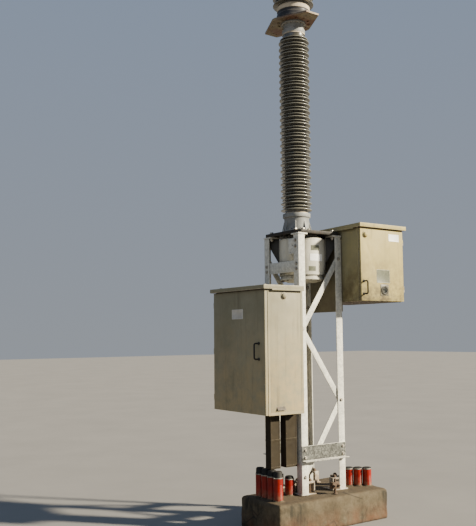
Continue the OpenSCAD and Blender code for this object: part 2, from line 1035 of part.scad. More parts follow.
// a long eight-sided plate with a bolting pad at each end and clamp holes along its edges
module terminal_plate() {
    middle = (terminal_back_reach - terminal_front_reach) / 2;
    waist = 20;
    pad_inset = 22 + pad_hole_spacing / 2;
    edge_hole = 9;
    edge_holes = [[terminal_half_width - 30, -35], [terminal_half_width - 102, -150]];
    linear_extrude(terminal_thickness)
    difference() {
        polygon([
            [pad_width / 2, -terminal_front_reach],
            [terminal_half_width, middle - waist],
            [terminal_half_width, middle + waist],
            [pad_width / 2, terminal_back_reach],
            [-pad_width / 2, terminal_back_reach],
            [-terminal_half_width, middle + waist],
            [-terminal_half_width, middle - waist],
            [-pad_width / 2, -terminal_front_reach]
        ]);
        for (y = [pad_inset - terminal_front_reach, terminal_back_reach - pad_inset])
        for (i = [-0.5, 0.5])
        for (j = [-0.5, 0.5])
        translate([i * pad_hole_spacing, y + j * pad_hole_spacing])
        circle(pad_hole_radius);
        for (side = [-1, 1])
        for (h = edge_holes)
        translate([side * h[0], middle + side * h[1]])
        circle(edge_hole);
    }
}

module lower_terminal() {
    color("peru")
    translate([pole_x, 0, terminal_bottom])
    terminal_plate();
}

module upper_terminal() {
    color("peru")
    translate([pole_x, 0, upper_terminal_bottom])
    terminal_plate();
}

// an end flange of the chamber, its wide part at z = 0 and its collar on top
module chamber_flange() {
    plate = 24;
    groove = 8;
    shoulder = 72;
    rotate_extrude()
    polygon([
        [0, 0],
        [chamber_flange_radius, 0],
        [chamber_flange_radius, plate],
        [chamber_flange_radius - groove, plate + 4],
        [chamber_flange_radius - groove, shoulder - 6],
        [chamber_flange_radius - groove - 5, shoulder],
        [collar_radius - 4, shoulder + 3],
        [collar_radius - 4, chamber_flange_height - 3],
        [collar_radius, chamber_flange_height],
        [collar_radius, chamber_flange_height + collar_height - 4],
        [collar_radius - 4, chamber_flange_height + collar_height],
        [0, chamber_flange_height + collar_height]
    ]);
}

module chamber_bottom_flange() {
    color("gray")
    translate([pole_x, 0, chamber_flange_bottom])
    chamber_flange();
}

module chamber_insulator() {
    color("saddlebrown")
    translate([pole_x, 0, chamber_bottom])
    insulator(chamber_length, chamber_core, chamber_shed, chamber_small_shed, chamber_pitch);
}

module chamber_top_flange() {
    color("gray")
    translate([pole_x, 0, upper_terminal_bottom])
    mirror([0, 0, 1])
    chamber_flange();
}

module top_cap() {
    cap_radius = 150;
    brim = 22;
    color("gray")
    translate([pole_x, 0, cap_bottom])
    rotate_extrude()
    polygon(concat(
        [[0, 0], [cap_radius, 0], [cap_radius, brim], [cap_radius - 18, brim]],
        [
            for (a = [0 : 10 : 90])
            [(cap_radius - 18) * cos(a), cap_height - 55 + 55 * sin(a)]
        ]
    ));
}

plinth();
anchor_bolts();
conduit_stubs_left();
conduit_stubs_right();
conduit_seals();
earth_stud();
leg_front_left();
leg_front_right();
leg_back_left();
leg_back_right();
braces_front();
braces_back();
beam_front();
beam_back();
side_bar();
knee_plate();
cubicle_rails();
drive_mount_plate();
control_housing();
control_roof();
control_hinges();
control_vents();
cable_ducts();
control_door();
control_handle();
drive_housing();
drive_roof();
drive_hinges();
drive_door();
drive_handle();
drive_vent();
drive_window_frame();
drive_window_glass();
pole_base_plate();
pole_bolts();
mechanism_drum();
support_bottom_flange();
support_insulator();
support_top_flange();
lower_terminal();
chamber_bottom_flange();
chamber_insulator();
chamber_top_flange();
upper_terminal();
top_cap();
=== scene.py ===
import json
import random
from math import cos, hypot, pi, radians, sin, tan

import bmesh
import bpy
from mathutils import Matrix, Vector, noise

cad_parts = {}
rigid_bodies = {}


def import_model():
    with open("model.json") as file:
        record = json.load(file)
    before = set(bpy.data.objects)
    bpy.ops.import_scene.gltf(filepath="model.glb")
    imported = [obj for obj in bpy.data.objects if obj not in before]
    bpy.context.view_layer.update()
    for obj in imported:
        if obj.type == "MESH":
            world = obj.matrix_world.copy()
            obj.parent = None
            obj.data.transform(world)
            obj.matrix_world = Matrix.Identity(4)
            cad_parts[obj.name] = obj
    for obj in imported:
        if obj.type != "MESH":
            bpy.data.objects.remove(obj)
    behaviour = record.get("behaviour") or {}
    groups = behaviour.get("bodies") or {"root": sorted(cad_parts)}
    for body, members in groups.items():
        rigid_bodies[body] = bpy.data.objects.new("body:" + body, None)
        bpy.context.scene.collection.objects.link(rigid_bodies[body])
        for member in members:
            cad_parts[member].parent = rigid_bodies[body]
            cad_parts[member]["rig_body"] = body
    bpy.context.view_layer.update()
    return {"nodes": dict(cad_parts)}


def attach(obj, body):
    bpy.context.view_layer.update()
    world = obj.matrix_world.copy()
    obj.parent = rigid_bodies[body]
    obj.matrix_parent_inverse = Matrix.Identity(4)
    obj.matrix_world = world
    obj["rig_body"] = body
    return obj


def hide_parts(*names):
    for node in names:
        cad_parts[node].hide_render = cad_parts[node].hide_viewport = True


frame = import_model()
CAD = frame["nodes"]
rng = random.Random(11)

# The stand, in metres: heights over the ground, and distances from the stand's axis

DECK = 0.3
TOP = DECK + 2.595
BASE_TOP = TOP + 0.032
EDGE = 0.285
FLANGE = 0.08
FLAT = 0.008
MOUNT_PLATE = 0.014
SIDES = (-0.245, 0.245)
QUARTERS = ((-1, -1), (-1, 1), (1, -1), (1, 1))

# The cabinets: the corner that each cabinet's own frame starts from, and (width, depth, height)

CONTROL_CORNER = (-0.783, -0.37, 1.104)
CONTROL_SIZE = (0.884, 0.468, 1.2)
DRIVE_CORNER = (0.299, -0.567, 2.199)
DRIVE_SIZE = (0.612, 0.852, 0.759)
HINGE_MARGIN = 0.13
ROOF_REACH = 0.03

# The pole

POLE = Vector((-0.07, 0, 0))
DRUM_RADIUS = 0.243
DRUM_LOW = 2.43
SUPPORT_LOW = BASE_TOP + 0.203
SUPPORT_LENGTH = 1.96
SUPPORT_CORE = 0.118
SUPPORT_TOP = SUPPORT_LOW + SUPPORT_LENGTH
TERMINAL_LOW = SUPPORT_TOP + 0.125
TERMINAL_THICKNESS = 0.018
CHAMBER_FLANGE = 0.105
COLLAR = 0.045
CHAMBER_LOW = TERMINAL_LOW + TERMINAL_THICKNESS + CHAMBER_FLANGE + COLLAR
CHAMBER_LENGTH = 1.8
CHAMBER_CORE = 0.165
CHAMBER_TOP = CHAMBER_LOW + CHAMBER_LENGTH
CAP_LOW = CHAMBER_TOP + COLLAR + CHAMBER_FLANGE + TERMINAL_THICKNESS

# Places in a cabinet's own frame: x across its door, y inwards, z up

def in_control(x, y, z):
    left, near, low = CONTROL_CORNER
    return Vector((left + y, near + x, low + z))


def in_drive(x, y, z):
    left, near, low = DRIVE_CORNER
    return Vector((left + x, near + y, low + z))


def row(start, step, count):
    return [start + step * i for i in range(count)]


WINDOW_X, WINDOW_Z = 0.326, 0.118
WINDOW = in_drive(WINDOW_X, 0, WINDOW_Z)


# Camera and light

def add(name, data):
    made = bpy.data.objects.new(name, data)
    bpy.context.scene.collection.objects.link(made)
    return made


def set_camera():
    yaw, pitch, roll = (radians(a) for a in (-34.96, 5.5, -0.51))
    eye = (-5.13, -6.151, 1.856)
    film_height, photo_height, focal_length_in_pixels = 36, 526, 760
    look = Vector((-sin(yaw) * cos(pitch), cos(yaw) * cos(pitch), sin(pitch)))
    right = Vector((cos(yaw), sin(yaw), 0))
    up = right.cross(look)
    side = cos(roll) * right + sin(roll) * up
    top = -sin(roll) * right + cos(roll) * up
    turn = Matrix((side, top, -look)).transposed().to_4x4()
    data = bpy.data.cameras.new("camera")
    data.sensor_fit = "VERTICAL"
    data.sensor_height = film_height
    data.lens = film_height * focal_length_in_pixels / photo_height
    data.clip_end = 200
    camera = add("camera", data)
    camera.matrix_world = Matrix.Translation(eye) @ turn
    bpy.context.scene.camera = camera


def sun(name, direction, strength, colour, angle):
    lamp = add(name, bpy.data.lights.new(name, "SUN"))
    lamp.data.energy, lamp.data.color, lamp.data.angle = strength, colour, radians(angle)
    lamp.rotation_euler = Vector(direction).to_track_quat("-Z", "Y").to_euler()


def set_light():
    sun("key", (-0.6, 0.68, -0.41), 17, (1, 0.9, 0.7), 3)
    sun("fill", (0.8, 0.35, -0.45), 0.25, (0.8, 0.88, 1), 40)
    horizon, zenith, zenith_from, strength = (0.66, 0.72, 0.8), (0.44, 0.62, 0.95), 0.75, 0.46
    world = bpy.context.scene.world = bpy.data.worlds.new("studio")
    world.use_nodes = True
    tree = world.node_tree
    back = tree.nodes["Background"]
    back.inputs[1].default_value = strength
    kinds = ("TexCoord", "SeparateXYZ", "ValToRGB")
    place, part, ramp = (tree.nodes.new("ShaderNode" + kind) for kind in kinds)
    tree.links.new(place.outputs["Generated"], part.inputs[0])
    tree.links.new(part.outputs[2], ramp.inputs[0])
    tree.links.new(ramp.outputs[0], back.inputs[0])
    low, high = ramp.color_ramp.elements
    low.color, high.color = (*horizon, 1), (*zenith, 1)
    high.position = zenith_from


# Materials

class Surface:
    """A Principled material made of small node calls."""

    def __init__(self, name, slot):
        self.material = bpy.data.materials.new(name)
        self.material["slot"] = slot
        self.material.use_nodes = True
        self.tree = self.material.node_tree
        self.shader = self.tree.nodes["Principled BSDF"]
        self.place = self.node("TexCoord", output="Object")
        self.colour = self.normal = None

    def node(self, kind, inputs=None, output=0, **settings):
        made = self.tree.nodes.new("ShaderNode" + kind)
        for key, value in settings.items():
            setattr(made, key, value)
        for key, value in (inputs or {}).items():
            self.put(made.inputs[key], value)
        return made.outputs[output]

    def put(self, socket, value):
        """Links a socket or sets its value."""
        if isinstance(value, bpy.types.NodeSocket):
            self.tree.links.new(value, socket)
        else:
            socket.default_value = (*value, 1) if socket.type == "RGBA" else value

    def noise(self, scale, detail, stretch=(1, 1, 1), rough=0.6, offset=(0, 0, 0)):
        place = self.place
        if stretch != (1, 1, 1) or offset != (0, 0, 0):
            place = self.node("Mapping", {0: place, "Scale": stretch, "Location": offset})
        return self.node("TexNoise", {0: place, "Scale": scale, "Detail": detail, "Roughness": rough})

    def cells(self, scale, output, feature="F1"):
        return self.node("TexVoronoi", {0: self.place, "Scale": scale}, output, feature=feature)

    def band(self, value, low, high, to_low=0, to_high=1):
        """A value mapped from low to high onto to_low to to_high, and kept inside."""
        return self.node("MapRange", {0: value, 1: low, 2: high, 3: to_low, 4: to_high})

    def patches(self, scale, detail, low, high, *limits, **settings):
        return self.band(self.noise(scale, detail, **settings), low, high, *limits)

    def maths(self, kind, a, b=0):
        return self.node("Math", {0: a, 1: b}, operation=kind)

    def times(self, first, *others):
        for value in others:
            first = self.maths("MULTIPLY", first, value)
        return first

    def mix(self, mask, a, b):
        return self.node("Mix", {0: mask, 6: a, 7: b}, 2, data_type="RGBA")

    def stain(self, tint, *masks):
        """Lays a tint over the colour by the product of the masks."""
        self.colour = self.mix(self.times(*masks), self.colour, tint)

    def facing(self, axis, low, high):
        """How far the surface faces along an axis: 0 for X, 2 for Z."""
        normal = self.node("NewGeometry", output="Normal")
        return self.band(self.node("SeparateXYZ", {0: normal}, axis), low, high)

    def upward(self, low=0.4, high=0.9):
        return self.facing(2, low, high)

    def height(self, low, high):
        return self.band(self.node("SeparateXYZ", {0: self.place}, 2), low, high)

    def corner(self, distance):
        """Ambient occlusion, used for painted shade: 1 in corners and gaps narrower than about the distance.
        """
        shade = self.node("AmbientOcclusion", {"Distance": distance}, "AO", samples=4)
        return self.band(shade, 0.75, 0.25)

    def reach(self, centre, axes):
        """The distance from a centre along the axes that are 1."""
        away = self.node("VectorMath", {0: self.place, 1: centre}, operation="SUBTRACT")
        flat = self.node("VectorMath", {0: away, 1: axes}, operation="MULTIPLY")
        return self.node("VectorMath", {0: flat}, "Value", operation="LENGTH")

    def edges(self):
        return self.node("Attribute", output="Fac", attribute_name="edge")

    def bump(self, value, strength, depth):
        made = self.node("Bump", {"Height": value, "Strength": strength, "Distance": depth})
        if self.normal:
            self.put(made.node.inputs["Normal"], self.normal)
        self.normal = made

    def done(self, rough, constants=None):
        inputs = self.shader.inputs
        for name, value in (constants or {}).items():
            inputs[name].default_value = value
        self.put(inputs["Base Color"], self.colour)
        self.put(inputs["Roughness"], rough)
        if self.normal:
            self.put(inputs["Normal"], self.normal)
        return self.material


# Marks of coated surfaces, each over the ones before it

def chairs(s, tint):
    """The anchor chairs, beside the leg angles' flanges and near the plinth."""
    x, y, z = s.node("SeparateXYZ", {0: s.place}).node.outputs
    beside = s.maths("MINIMUM", s.maths("ABSOLUTE", x), s.maths("ABSOLUTE", y))
    inner = EDGE - FLANGE
    low = s.times(s.band(beside, inner, inner - 0.004), s.band(z, DECK + 0.134, DECK + 0.128))
    s.stain(tint, low, s.patches(22, 6, 0.3, 0.6, 0.35, 0.95))


MARKS = dict(
    # painted shade with a red cast from the ground, on faces that look down
    under=lambda s, tint: s.stain(tint, s.facing(2, -0.4, -0.9)),
    chairs=chairs,
    # painted shade on what stands out from the drum's shell
    gussets=lambda s, tint: s.stain(
        tint, s.band(s.reach((0, 0, 0), (1, 1, 0)), DRUM_RADIUS + 0.003, DRUM_RADIUS + 0.004)),
    # the ring round the window
    collar=lambda s, tint: s.stain(tint, s.band(s.reach(WINDOW, (1, 0, 1)), 0.049, 0.0484)),
    # painted shade, grey, in patches on the side that faces -X
    lee=lambda s, tint, amount: s.stain(
        tint, s.facing(0, -0.4, -0.9), s.patches(5, 6, 0.25, 0.65, 0.6, offset=(6, 4, 2)), amount),
    # colour that is full at the height low and gone at high: soil splash on the legs, painted shade on the
    # drive cabinet, painted light on the cubicle
    splash=lambda s, high, low, tint, amount: s.stain(
        tint, s.height(high, low), s.patches(8, 7, 0.34, 0.62, rough=0.7), amount),
    specks=lambda s, tint: s.stain(
        tint, s.patches(150, 2, 0.66, 0.72), s.patches(6, 3, 0.5, 0.6, offset=(1, 8, 2)), 0.9),
    drips=lambda s, tint, amount: s.stain(
        tint, s.patches(26, 5, 0.53, 0.74, stretch=(1, 1, 0.045), rough=0.7),
        s.patches(3.1, 3, 0.36, 0.62, offset=(4, 2, 7)), amount),
    # painted shade in corners and gaps, in patches
    dirt=lambda s, tint, distance, amount: s.stain(
        tint, s.corner(distance), s.patches(34, 5, 0.25, 0.6, 0.35), amount),
    dust=lambda s, tint, amount: s.stain(tint, s.upward(), s.patches(9, 6, 0.3, 0.65, 0.35), amount),
    wear=lambda s, tint, amount: s.stain(
        tint, s.edges(), s.patches(38, 5, 0.4, 0.58, 0.25, offset=(3, 9, 1)), amount),
)


def scaled(colour, factor):
    return tuple(min(1, c * factor) for c in colour)


def coated(name, slot, light, dark, patch, rough, metal=0, grain=(420, 0.1, 0.0004), spangle=0,
           specular=0.16, coat=0, **marks):
    """Paint or metal in patches of two tones, with fine grain and the given marks."""
    s = Surface(name, slot)
    scale, strength, depth = grain
    fine = s.noise(scale, 3)
    s.colour = s.mix(s.patches(patch, 7, 0.32, 0.68, rough=0.68), dark, light)
    s.stain(scaled(dark, 0.62), s.band(fine, 0.3, 0.7, 0, 0.22))
    if spangle:
        crystals = s.node("SeparateColor", {0: s.cells(60, "Color")}).node.outputs
        s.stain(scaled(light, 1.7), s.band(crystals[0], 0.2, 0.9, 0, spangle))
        s.stain(scaled(dark, 0.35), s.band(crystals[1], 0.6, 0.95, 0, spangle))
    for kind, lay in MARKS.items():
        if kind in marks:
            lay(s, *marks[kind])
    s.bump(fine, strength, depth)
    s.bump(s.noise(patch * 5, 5), 0.12, 0.002)
    constants = {"Metallic": metal, "Specular IOR Level": specular}
    if coat:
        constants |= {"Coat Weight": coat, "Coat Roughness": 0.12}
    return s.done(s.patches(patch * 3, 5, 0.3, 0.7, *rough, offset=(7, 1, 3)), constants)


DULL = {"Specular IOR Level": 0.25}


def concrete():
    s = Surface("rough_concrete", "concrete")
    grit = s.noise(210, 5, rough=0.75)
    pores = s.times(s.band(s.cells(95, "Distance"), 0.1, 0.24, 1, 0), s.patches(17, 2, 0.5, 0.62))
    cracks = s.band(s.cells(3.1, "Distance", "DISTANCE_TO_EDGE"), 0.004, 0.016, 1, 0)
    cracks = s.times(cracks, s.patches(2.2, 3, 0.5, 0.58, offset=(1, 6, 3)))
    wet = s.times(s.patches(4.2, 6, 0.46, 0.6, offset=(5, 3, 1)),
                  s.patches(19, 5, 0.34, 0.56, stretch=(1, 1, 0.25)))
    soil = s.times(s.height(0.2, 0), s.patches(6, 6, 0.34, 0.6, offset=(9, 2, 4)))
    s.colour = s.mix(s.patches(2.4, 8, 0.34, 0.66, rough=0.7), (0.046, 0.034, 0.02), (0.1, 0.078, 0.046))
    s.stain((0.124, 0.1, 0.064), s.patches(11, 7, 0.42, 0.66, 0, 0.75, rough=0.72))
    s.stain((0.018, 0.017, 0.012), wet, 0.85)
    s.stain((0.13, 0.046, 0.018), soil, 0.75)
    s.stain((0.02, 0.017, 0.013), pores, 0.8)
    s.stain((0.084, 0.06, 0.034), s.upward(), s.patches(7, 5, 0.35, 0.6, 0.2, 0.75))
    # painted shade in corners and hollows
    s.stain((0.035, 0.029, 0.021), s.corner(0.06), 0.7)
    s.stain((0.034, 0.027, 0.018), s.band(grit, 0.35, 0.7, 0, 0.45))
    s.stain((0.018, 0.015, 0.012), cracks, 0.8)
    s.bump(grit, 0.6, 0.0025)
    s.bump(pores, -0.6, 0.004)
    s.bump(cracks, -0.7, 0.004)
    s.bump(s.noise(28, 6), 0.5, 0.01)
    return s.done(s.band(grit, 0.3, 0.7, 0.86, 0.97), DULL)


def porcelain():
    """Brown glaze. The edge value runs from 0 at a shed's root to 1 at the tip of a small shed."""
    s = Surface("porcelain_glaze", "porcelain")
    film = s.patches(60, 5, 0.3, 0.7, 0.08, 0.45, stretch=(1, 1, 0.3))
    rim = s.band(s.edges(), 0.62, 0.95)
    s.colour = s.mix(s.patches(7, 6, 0.3, 0.7), (0.034, 0.032, 0.026), (0.064, 0.061, 0.048))
    s.stain((0.2, 0.198, 0.166), rim, s.patches(16, 5, 0.3, 0.62, 0.35, offset=(2, 5, 1)))
    s.stain((0.225, 0.215, 0.18), s.upward(0.15, 0.95), film)
    # painted shade between the sheds
    s.stain((0.018, 0.016, 0.013), s.corner(0.03), 0.55)
    s.stain((0.22, 0.205, 0.165), s.patches(24, 4, 0.52, 0.68, 0, 0.4, stretch=(1, 1, 0.02)))
    s.bump(s.noise(45, 3), 0.08, 0.002)
    return s.done(s.band(film, 0.2, 0.8, 0.26, 0.5), {"Coat Weight": 0.4, "Coat Roughness": 0.16})


def conduit():
    s = Surface("orange_plastic", "orange_conduit")
    fade = s.patches(6, 5, 0.3, 0.7)
    scrapes = s.patches(38, 4, 0.58, 0.7, 0, 0.55, stretch=(1, 1, 0.08))
    s.colour = s.mix(fade, (0.13, 0.0018, 0.0003), (0.225, 0.0065, 0.0009))
    s.stain((0.2, 0.1, 0.055), s.height(DECK + 0.1, DECK), s.patches(30, 5, 0.35, 0.6))
    s.stain((0.32, 0.04, 0.012), scrapes)
    # painted shade in corners and gaps
    s.stain((0.035, 0.004, 0.002), s.corner(0.03), 0.8)
    s.bump(s.noise(90, 3), 0.1, 0.001)
    return s.done(s.band(fade, 0, 1, 0.3, 0.46), DULL)


def rubber():
    s = Surface("black_rubber", "black_plastic")
    tone = s.patches(35, 5, 0.35, 0.65)
    s.colour = s.mix(tone, (0.006, 0.0055, 0.005), (0.014, 0.013, 0.012))
    s.stain((0.05, 0.042, 0.033), s.upward(), s.patches(22, 5, 0.35, 0.6), 0.3)
    s.bump(s.noise(300, 3), 0.15, 0.0005)
    return s.done(s.band(tone, 0, 1, 0.62, 0.8), DULL)


def glass():
    s = Surface("window_pane", "window_glass")
    smears = s.patches(40, 5, 0.4, 0.62)
    s.colour = s.mix(smears, (0.012, 0.014, 0.012), (0.06, 0.06, 0.048))
    pane = {"Alpha": 0.85, "IOR": 1.5, "Coat Weight": 0.8, "Coat Roughness": 0.05}
    return s.done(s.band(smears, 0, 1, 0.06, 0.3), pane)


def weathered():
    s = Surface("weathered_terminal", "weathered_terminal")
    tone = s.patches(9, 7, 0.36, 0.64, rough=0.7)
    s.colour = s.mix(tone, (0.1, 0.066, 0.04), (0.235, 0.195, 0.12))
    s.stain((0.115, 0.04, 0.022), s.patches(5, 5, 0.46, 0.6, offset=(2, 2, 2)), 0.7)
    # painted shade, purplish brown, in corners and next to the column
    s.stain((0.06, 0.03, 0.034), s.corner(0.03), 0.75)
    s.stain((0.56, 0.52, 0.44), s.edges(), s.patches(60, 3, 0.3, 0.55, 0.45))
    s.bump(s.noise(130, 4), 0.35, 0.0012)
    return s.done(s.band(tone, 0, 1, 0.5, 0.72), {"Metallic": 0.25})


GREY_DIRT = (0.055, 0.05, 0.042)
TAN_DUST = (0.47, 0.4, 0.29)
DARK_DUST = (0.3, 0.25, 0.18)
RED_SOIL = (0.06, 0.018, 0.01)
RUST = (0.15, 0.055, 0.02)
LOOK = dict(
    concrete=concrete(),
    porcelain=porcelain(),
    conduit=conduit(),
    rubber=rubber(),
    glass=glass(),
    terminal=weathered(),
    zinc=coated("galvanised_zinc", "galvanised_steel", (0.6, 0.58, 0.51), (0.41, 0.41, 0.375), 7,
        (0.55, 0.72), metal=0.1, spangle=0.22, chairs=[(0.115, 0.082, 0.055)],
        splash=[0.62, 0.3, (0.3, 0.215, 0.135), 0.6], specks=[RUST], drips=[(0.33, 0.29, 0.22), 0.45],
        dirt=[GREY_DIRT, 0.035, 0.75], dust=[TAN_DUST, 0.5], wear=[(0.78, 0.76, 0.7), 0.7]),
    spangle=coated("spangled_zinc", "spangled_steel", (0.076, 0.077, 0.067), (0.03, 0.031, 0.027), 16,
        (0.55, 0.72), metal=0.1, spangle=0.75, drips=[(0.05, 0.045, 0.035), 0.5], dirt=[GREY_DIRT, 0.03, 0.7],
        dust=[(0.62, 0.58, 0.48), 0.95], wear=[(0.74, 0.72, 0.66), 0.95]),
    # painted shade: dark red on faces that look down, grey on the side that faces -X, darker towards the
    # bottom, and in corners
    cabinet=coated("cabinet_paint", "cabinet_paint", (0.42, 0.345, 0.13), (0.31, 0.255, 0.094), 2.6,
        (0.5, 0.68), under=[RED_SOIL], lee=[(0.165, 0.165, 0.125), 0.7],
        splash=[2.74, 2.26, (0.08, 0.062, 0.034), 0.95], drips=[(0.12, 0.096, 0.054), 0.6],
        dirt=[(0.052, 0.041, 0.025), 0.05, 0.85], dust=[(0.36, 0.315, 0.22), 0.65],
        wear=[(0.52, 0.48, 0.37), 0.75]),
    # painted shade: the cabinet paint darker and greyer for a shadow on the cubicle, with painted light,
    # lighter and warmer, towards its bottom
    cubicle=coated("cubicle_paint", "cabinet_paint", (0.255, 0.236, 0.16), (0.18, 0.166, 0.108), 2.2,
        (0.5, 0.68), under=[RED_SOIL], splash=[2.15, 1.2, (0.345, 0.265, 0.14), 0.75],
        drips=[(0.095, 0.08, 0.05), 0.65], dirt=[(0.045, 0.037, 0.024), 0.05, 0.85],
        dust=[(0.3, 0.275, 0.215), 0.65], wear=[(0.5, 0.47, 0.37), 0.8]),
    dark=coated("dark_paint", "dark_paint", (0.085, 0.078, 0.062), (0.04, 0.036, 0.029), 8, (0.45, 0.7),
        drips=[RUST, 0.6], dust=[DARK_DUST, 0.8], wear=[(0.42, 0.38, 0.31), 0.85]),
    mount=coated("mount_plate_paint", "dark_paint", (0.205, 0.182, 0.125), (0.14, 0.124, 0.086), 6,
        (0.5, 0.68), specks=[RUST], drips=[(0.07, 0.05, 0.03), 0.7], dirt=[GREY_DIRT, 0.05, 0.85],
        dust=[DARK_DUST, 0.7], wear=[(0.42, 0.38, 0.31), 0.85]),
    base=coated("base_plate_paint", "dark_paint", (0.034, 0.032, 0.028), (0.015, 0.014, 0.012), 8,
        (0.5, 0.7), specks=[RUST], drips=[RUST, 0.5], dust=[(0.15, 0.125, 0.09), 0.8],
        wear=[(0.3, 0.27, 0.22), 0.85]),
    # painted shade: near black in corners under the base plate and on the gussets
    drum=coated("drum_paint", "grey_paint", (0.6, 0.575, 0.48), (0.44, 0.42, 0.35), 4, (0.42, 0.56),
        specular=0.3, gussets=[(0.05, 0.049, 0.045)], drips=[(0.15, 0.125, 0.085), 0.6],
        dirt=[(0.012, 0.012, 0.012), 0.28, 0.97], dust=[(0.33, 0.3, 0.24), 0.7],
        wear=[(0.62, 0.6, 0.54), 0.6]),
    flange=coated("cast_flange", "flange_metal", (0.27, 0.275, 0.27), (0.15, 0.155, 0.15), 9, (0.55, 0.7),
        metal=0.15, drips=[(0.15, 0.115, 0.075), 0.5], dirt=[GREY_DIRT, 0.03, 0.85],
        dust=[(0.45, 0.39, 0.29), 0.6], wear=[(0.6, 0.56, 0.48), 0.6]),
    black_flange=coated("dark_flange", "flange_metal", (0.055, 0.055, 0.058), (0.022, 0.021, 0.023), 9,
        (0.4, 0.6), metal=0.2, dust=[(0.22, 0.19, 0.15), 0.6], wear=[(0.22, 0.21, 0.2), 0.5]),
    cement=coated("cement_joint", "flange_metal", (0.52, 0.45, 0.34), (0.36, 0.31, 0.235), 30, (0.8, 0.92),
        grain=(300, 0.4, 0.001), dirt=[GREY_DIRT, 0.02, 0.6]),
    steel=coated("bolt_steel", "galvanised_steel", (0.46, 0.43, 0.37), (0.2, 0.18, 0.15), 55,
        (0.35, 0.55), metal=0.6, drips=[RUST, 0.4], dust=[(0.36, 0.3, 0.22), 0.5],
        wear=[(0.7, 0.68, 0.62), 0.8]),
    rusty=coated("rusty_steel", "dark_steel", (0.115, 0.072, 0.045), (0.04, 0.03, 0.024), 30,
        (0.6, 0.85), metal=0.3, grain=(240, 0.4, 0.001), dust=[(0.3, 0.22, 0.15), 0.6],
        wear=[(0.26, 0.19, 0.13), 0.6]),
    hinge=coated("hinge_steel", "hinge_steel", (0.42, 0.38, 0.3), (0.25, 0.22, 0.17), 40, (0.4, 0.6),
        metal=0.5, dirt=[GREY_DIRT, 0.01, 0.9], dust=[(0.4, 0.34, 0.25), 0.6],
        wear=[(0.66, 0.63, 0.56), 0.8]),
    # painted shade: the paint made darker for the partial shade on the ducts
    duct=coated("duct_paint", "duct_paint", (0.031, 0.023, 0.012), (0.017, 0.0125, 0.0068), 6, (0.7, 0.85),
        drips=[(0.014, 0.011, 0.007), 0.7], dirt=[(0.01, 0.008, 0.006), 0.03, 0.8],
        dust=[(0.26, 0.22, 0.16), 0.7], wear=[(0.2, 0.17, 0.12), 0.8]),
    black=coated("handle_black", "black_plastic", (0.03, 0.028, 0.026), (0.016, 0.015, 0.014), 30,
        (0.32, 0.5), grain=(500, 0.2, 0.0003), dust=[(0.13, 0.11, 0.085), 0.6],
        wear=[(0.1, 0.095, 0.085), 0.8]),
    plate=coated("bare_aluminium", "hinge_steel", (0.56, 0.54, 0.49), (0.42, 0.4, 0.36), 18, (0.3, 0.48),
        metal=0.5, grain=(700, 0.15, 0.0002), drips=[(0.24, 0.2, 0.15), 0.5],
        wear=[(0.75, 0.73, 0.68), 0.8]),
    bezel=coated("window_bezel", "grey_paint", (0.15, 0.138, 0.096), (0.095, 0.088, 0.062), 25,
        (0.35, 0.5), collar=[(0.03, 0.029, 0.023)], drips=[(0.1, 0.085, 0.055), 0.5],
        dirt=[GREY_DIRT, 0.012, 0.9], wear=[(0.5, 0.47, 0.4), 0.5]),
    label=coated("drum_label", "grey_paint", (0.16, 0.165, 0.115), (0.1, 0.105, 0.075), 40, (0.3, 0.45),
        drips=[(0.06, 0.05, 0.035), 0.5], wear=[(0.42, 0.4, 0.33), 0.9]),
    enamel=coated("white_enamel", "cabinet_paint", (0.9, 0.9, 0.88), (0.8, 0.8, 0.76), 12,
        (0.22, 0.36), coat=0.3, drips=[(0.36, 0.28, 0.17), 0.45], wear=[(0.45, 0.4, 0.3), 0.6]),
)


# Mesh helpers

def fresh():
    """A bmesh whose faces carry an edge value, which the materials read."""
    bm = bmesh.new()
    bm.faces.layers.float.new("edge")
    return bm


def mark(bm, faces):
    layer = bm.faces.layers.float["edge"]
    for face in faces:
        face[layer] = 1


def merge(bm, part, matrix=Matrix()):
    mesh = bpy.data.meshes.new("part")
    part.to_mesh(mesh)
    mesh.transform(matrix)
    bm.from_mesh(mesh)
    bpy.data.meshes.remove(mesh)


def piece(name, bm, look, body="root", cad="", smooth=32):
    """Makes a bmesh a piece that rides on a body and can take the place of a CAD node."""
    mesh = bpy.data.meshes.new(name)
    bm.to_mesh(mesh)
    bm.free()
    mesh.polygons.foreach_set("use_smooth", [True] * len(mesh.polygons))
    mesh.set_sharp_from_angle(angle=radians(smooth))
    made = add(name, mesh)
    mesh.materials.append(LOOK[look])
    if cad:
        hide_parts(cad)
    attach(made, body)


def bevel(bm, edges, width, segments):
    made = bmesh.ops.bevel(
        bm, geom=edges, offset=width, segments=segments, profile=0.5, affect="EDGES", clamp_overlap=True)
    mark(bm, made["faces"])


def box(bm, corner, opposite, chamfer, matrix=Matrix()):
    low, high = Vector(map(min, corner, opposite)), Vector(map(max, corner, opposite))
    part = fresh()
    for v in bmesh.ops.create_cube(part, size=1)["verts"]:
        v.co = Vector(low[i] + (v.co[i] + 0.5) * (high[i] - low[i]) for i in range(3))
    bevel(part, part.edges[:], chamfer, 1)
    merge(bm, part, matrix)
    part.free()


def bridge(bm, a, b):
    """The faces between two rings of vertices, of which one can be a single vertex."""
    faces = []
    steps = max(len(a), len(b))
    for i in range(steps):
        j = (i + 1) % steps
        corners = dict.fromkeys((a[i % len(a)], a[j % len(a)], b[j % len(b)], b[i % len(b)]))
        faces.append(bm.faces.new(list(corners)))
    return faces


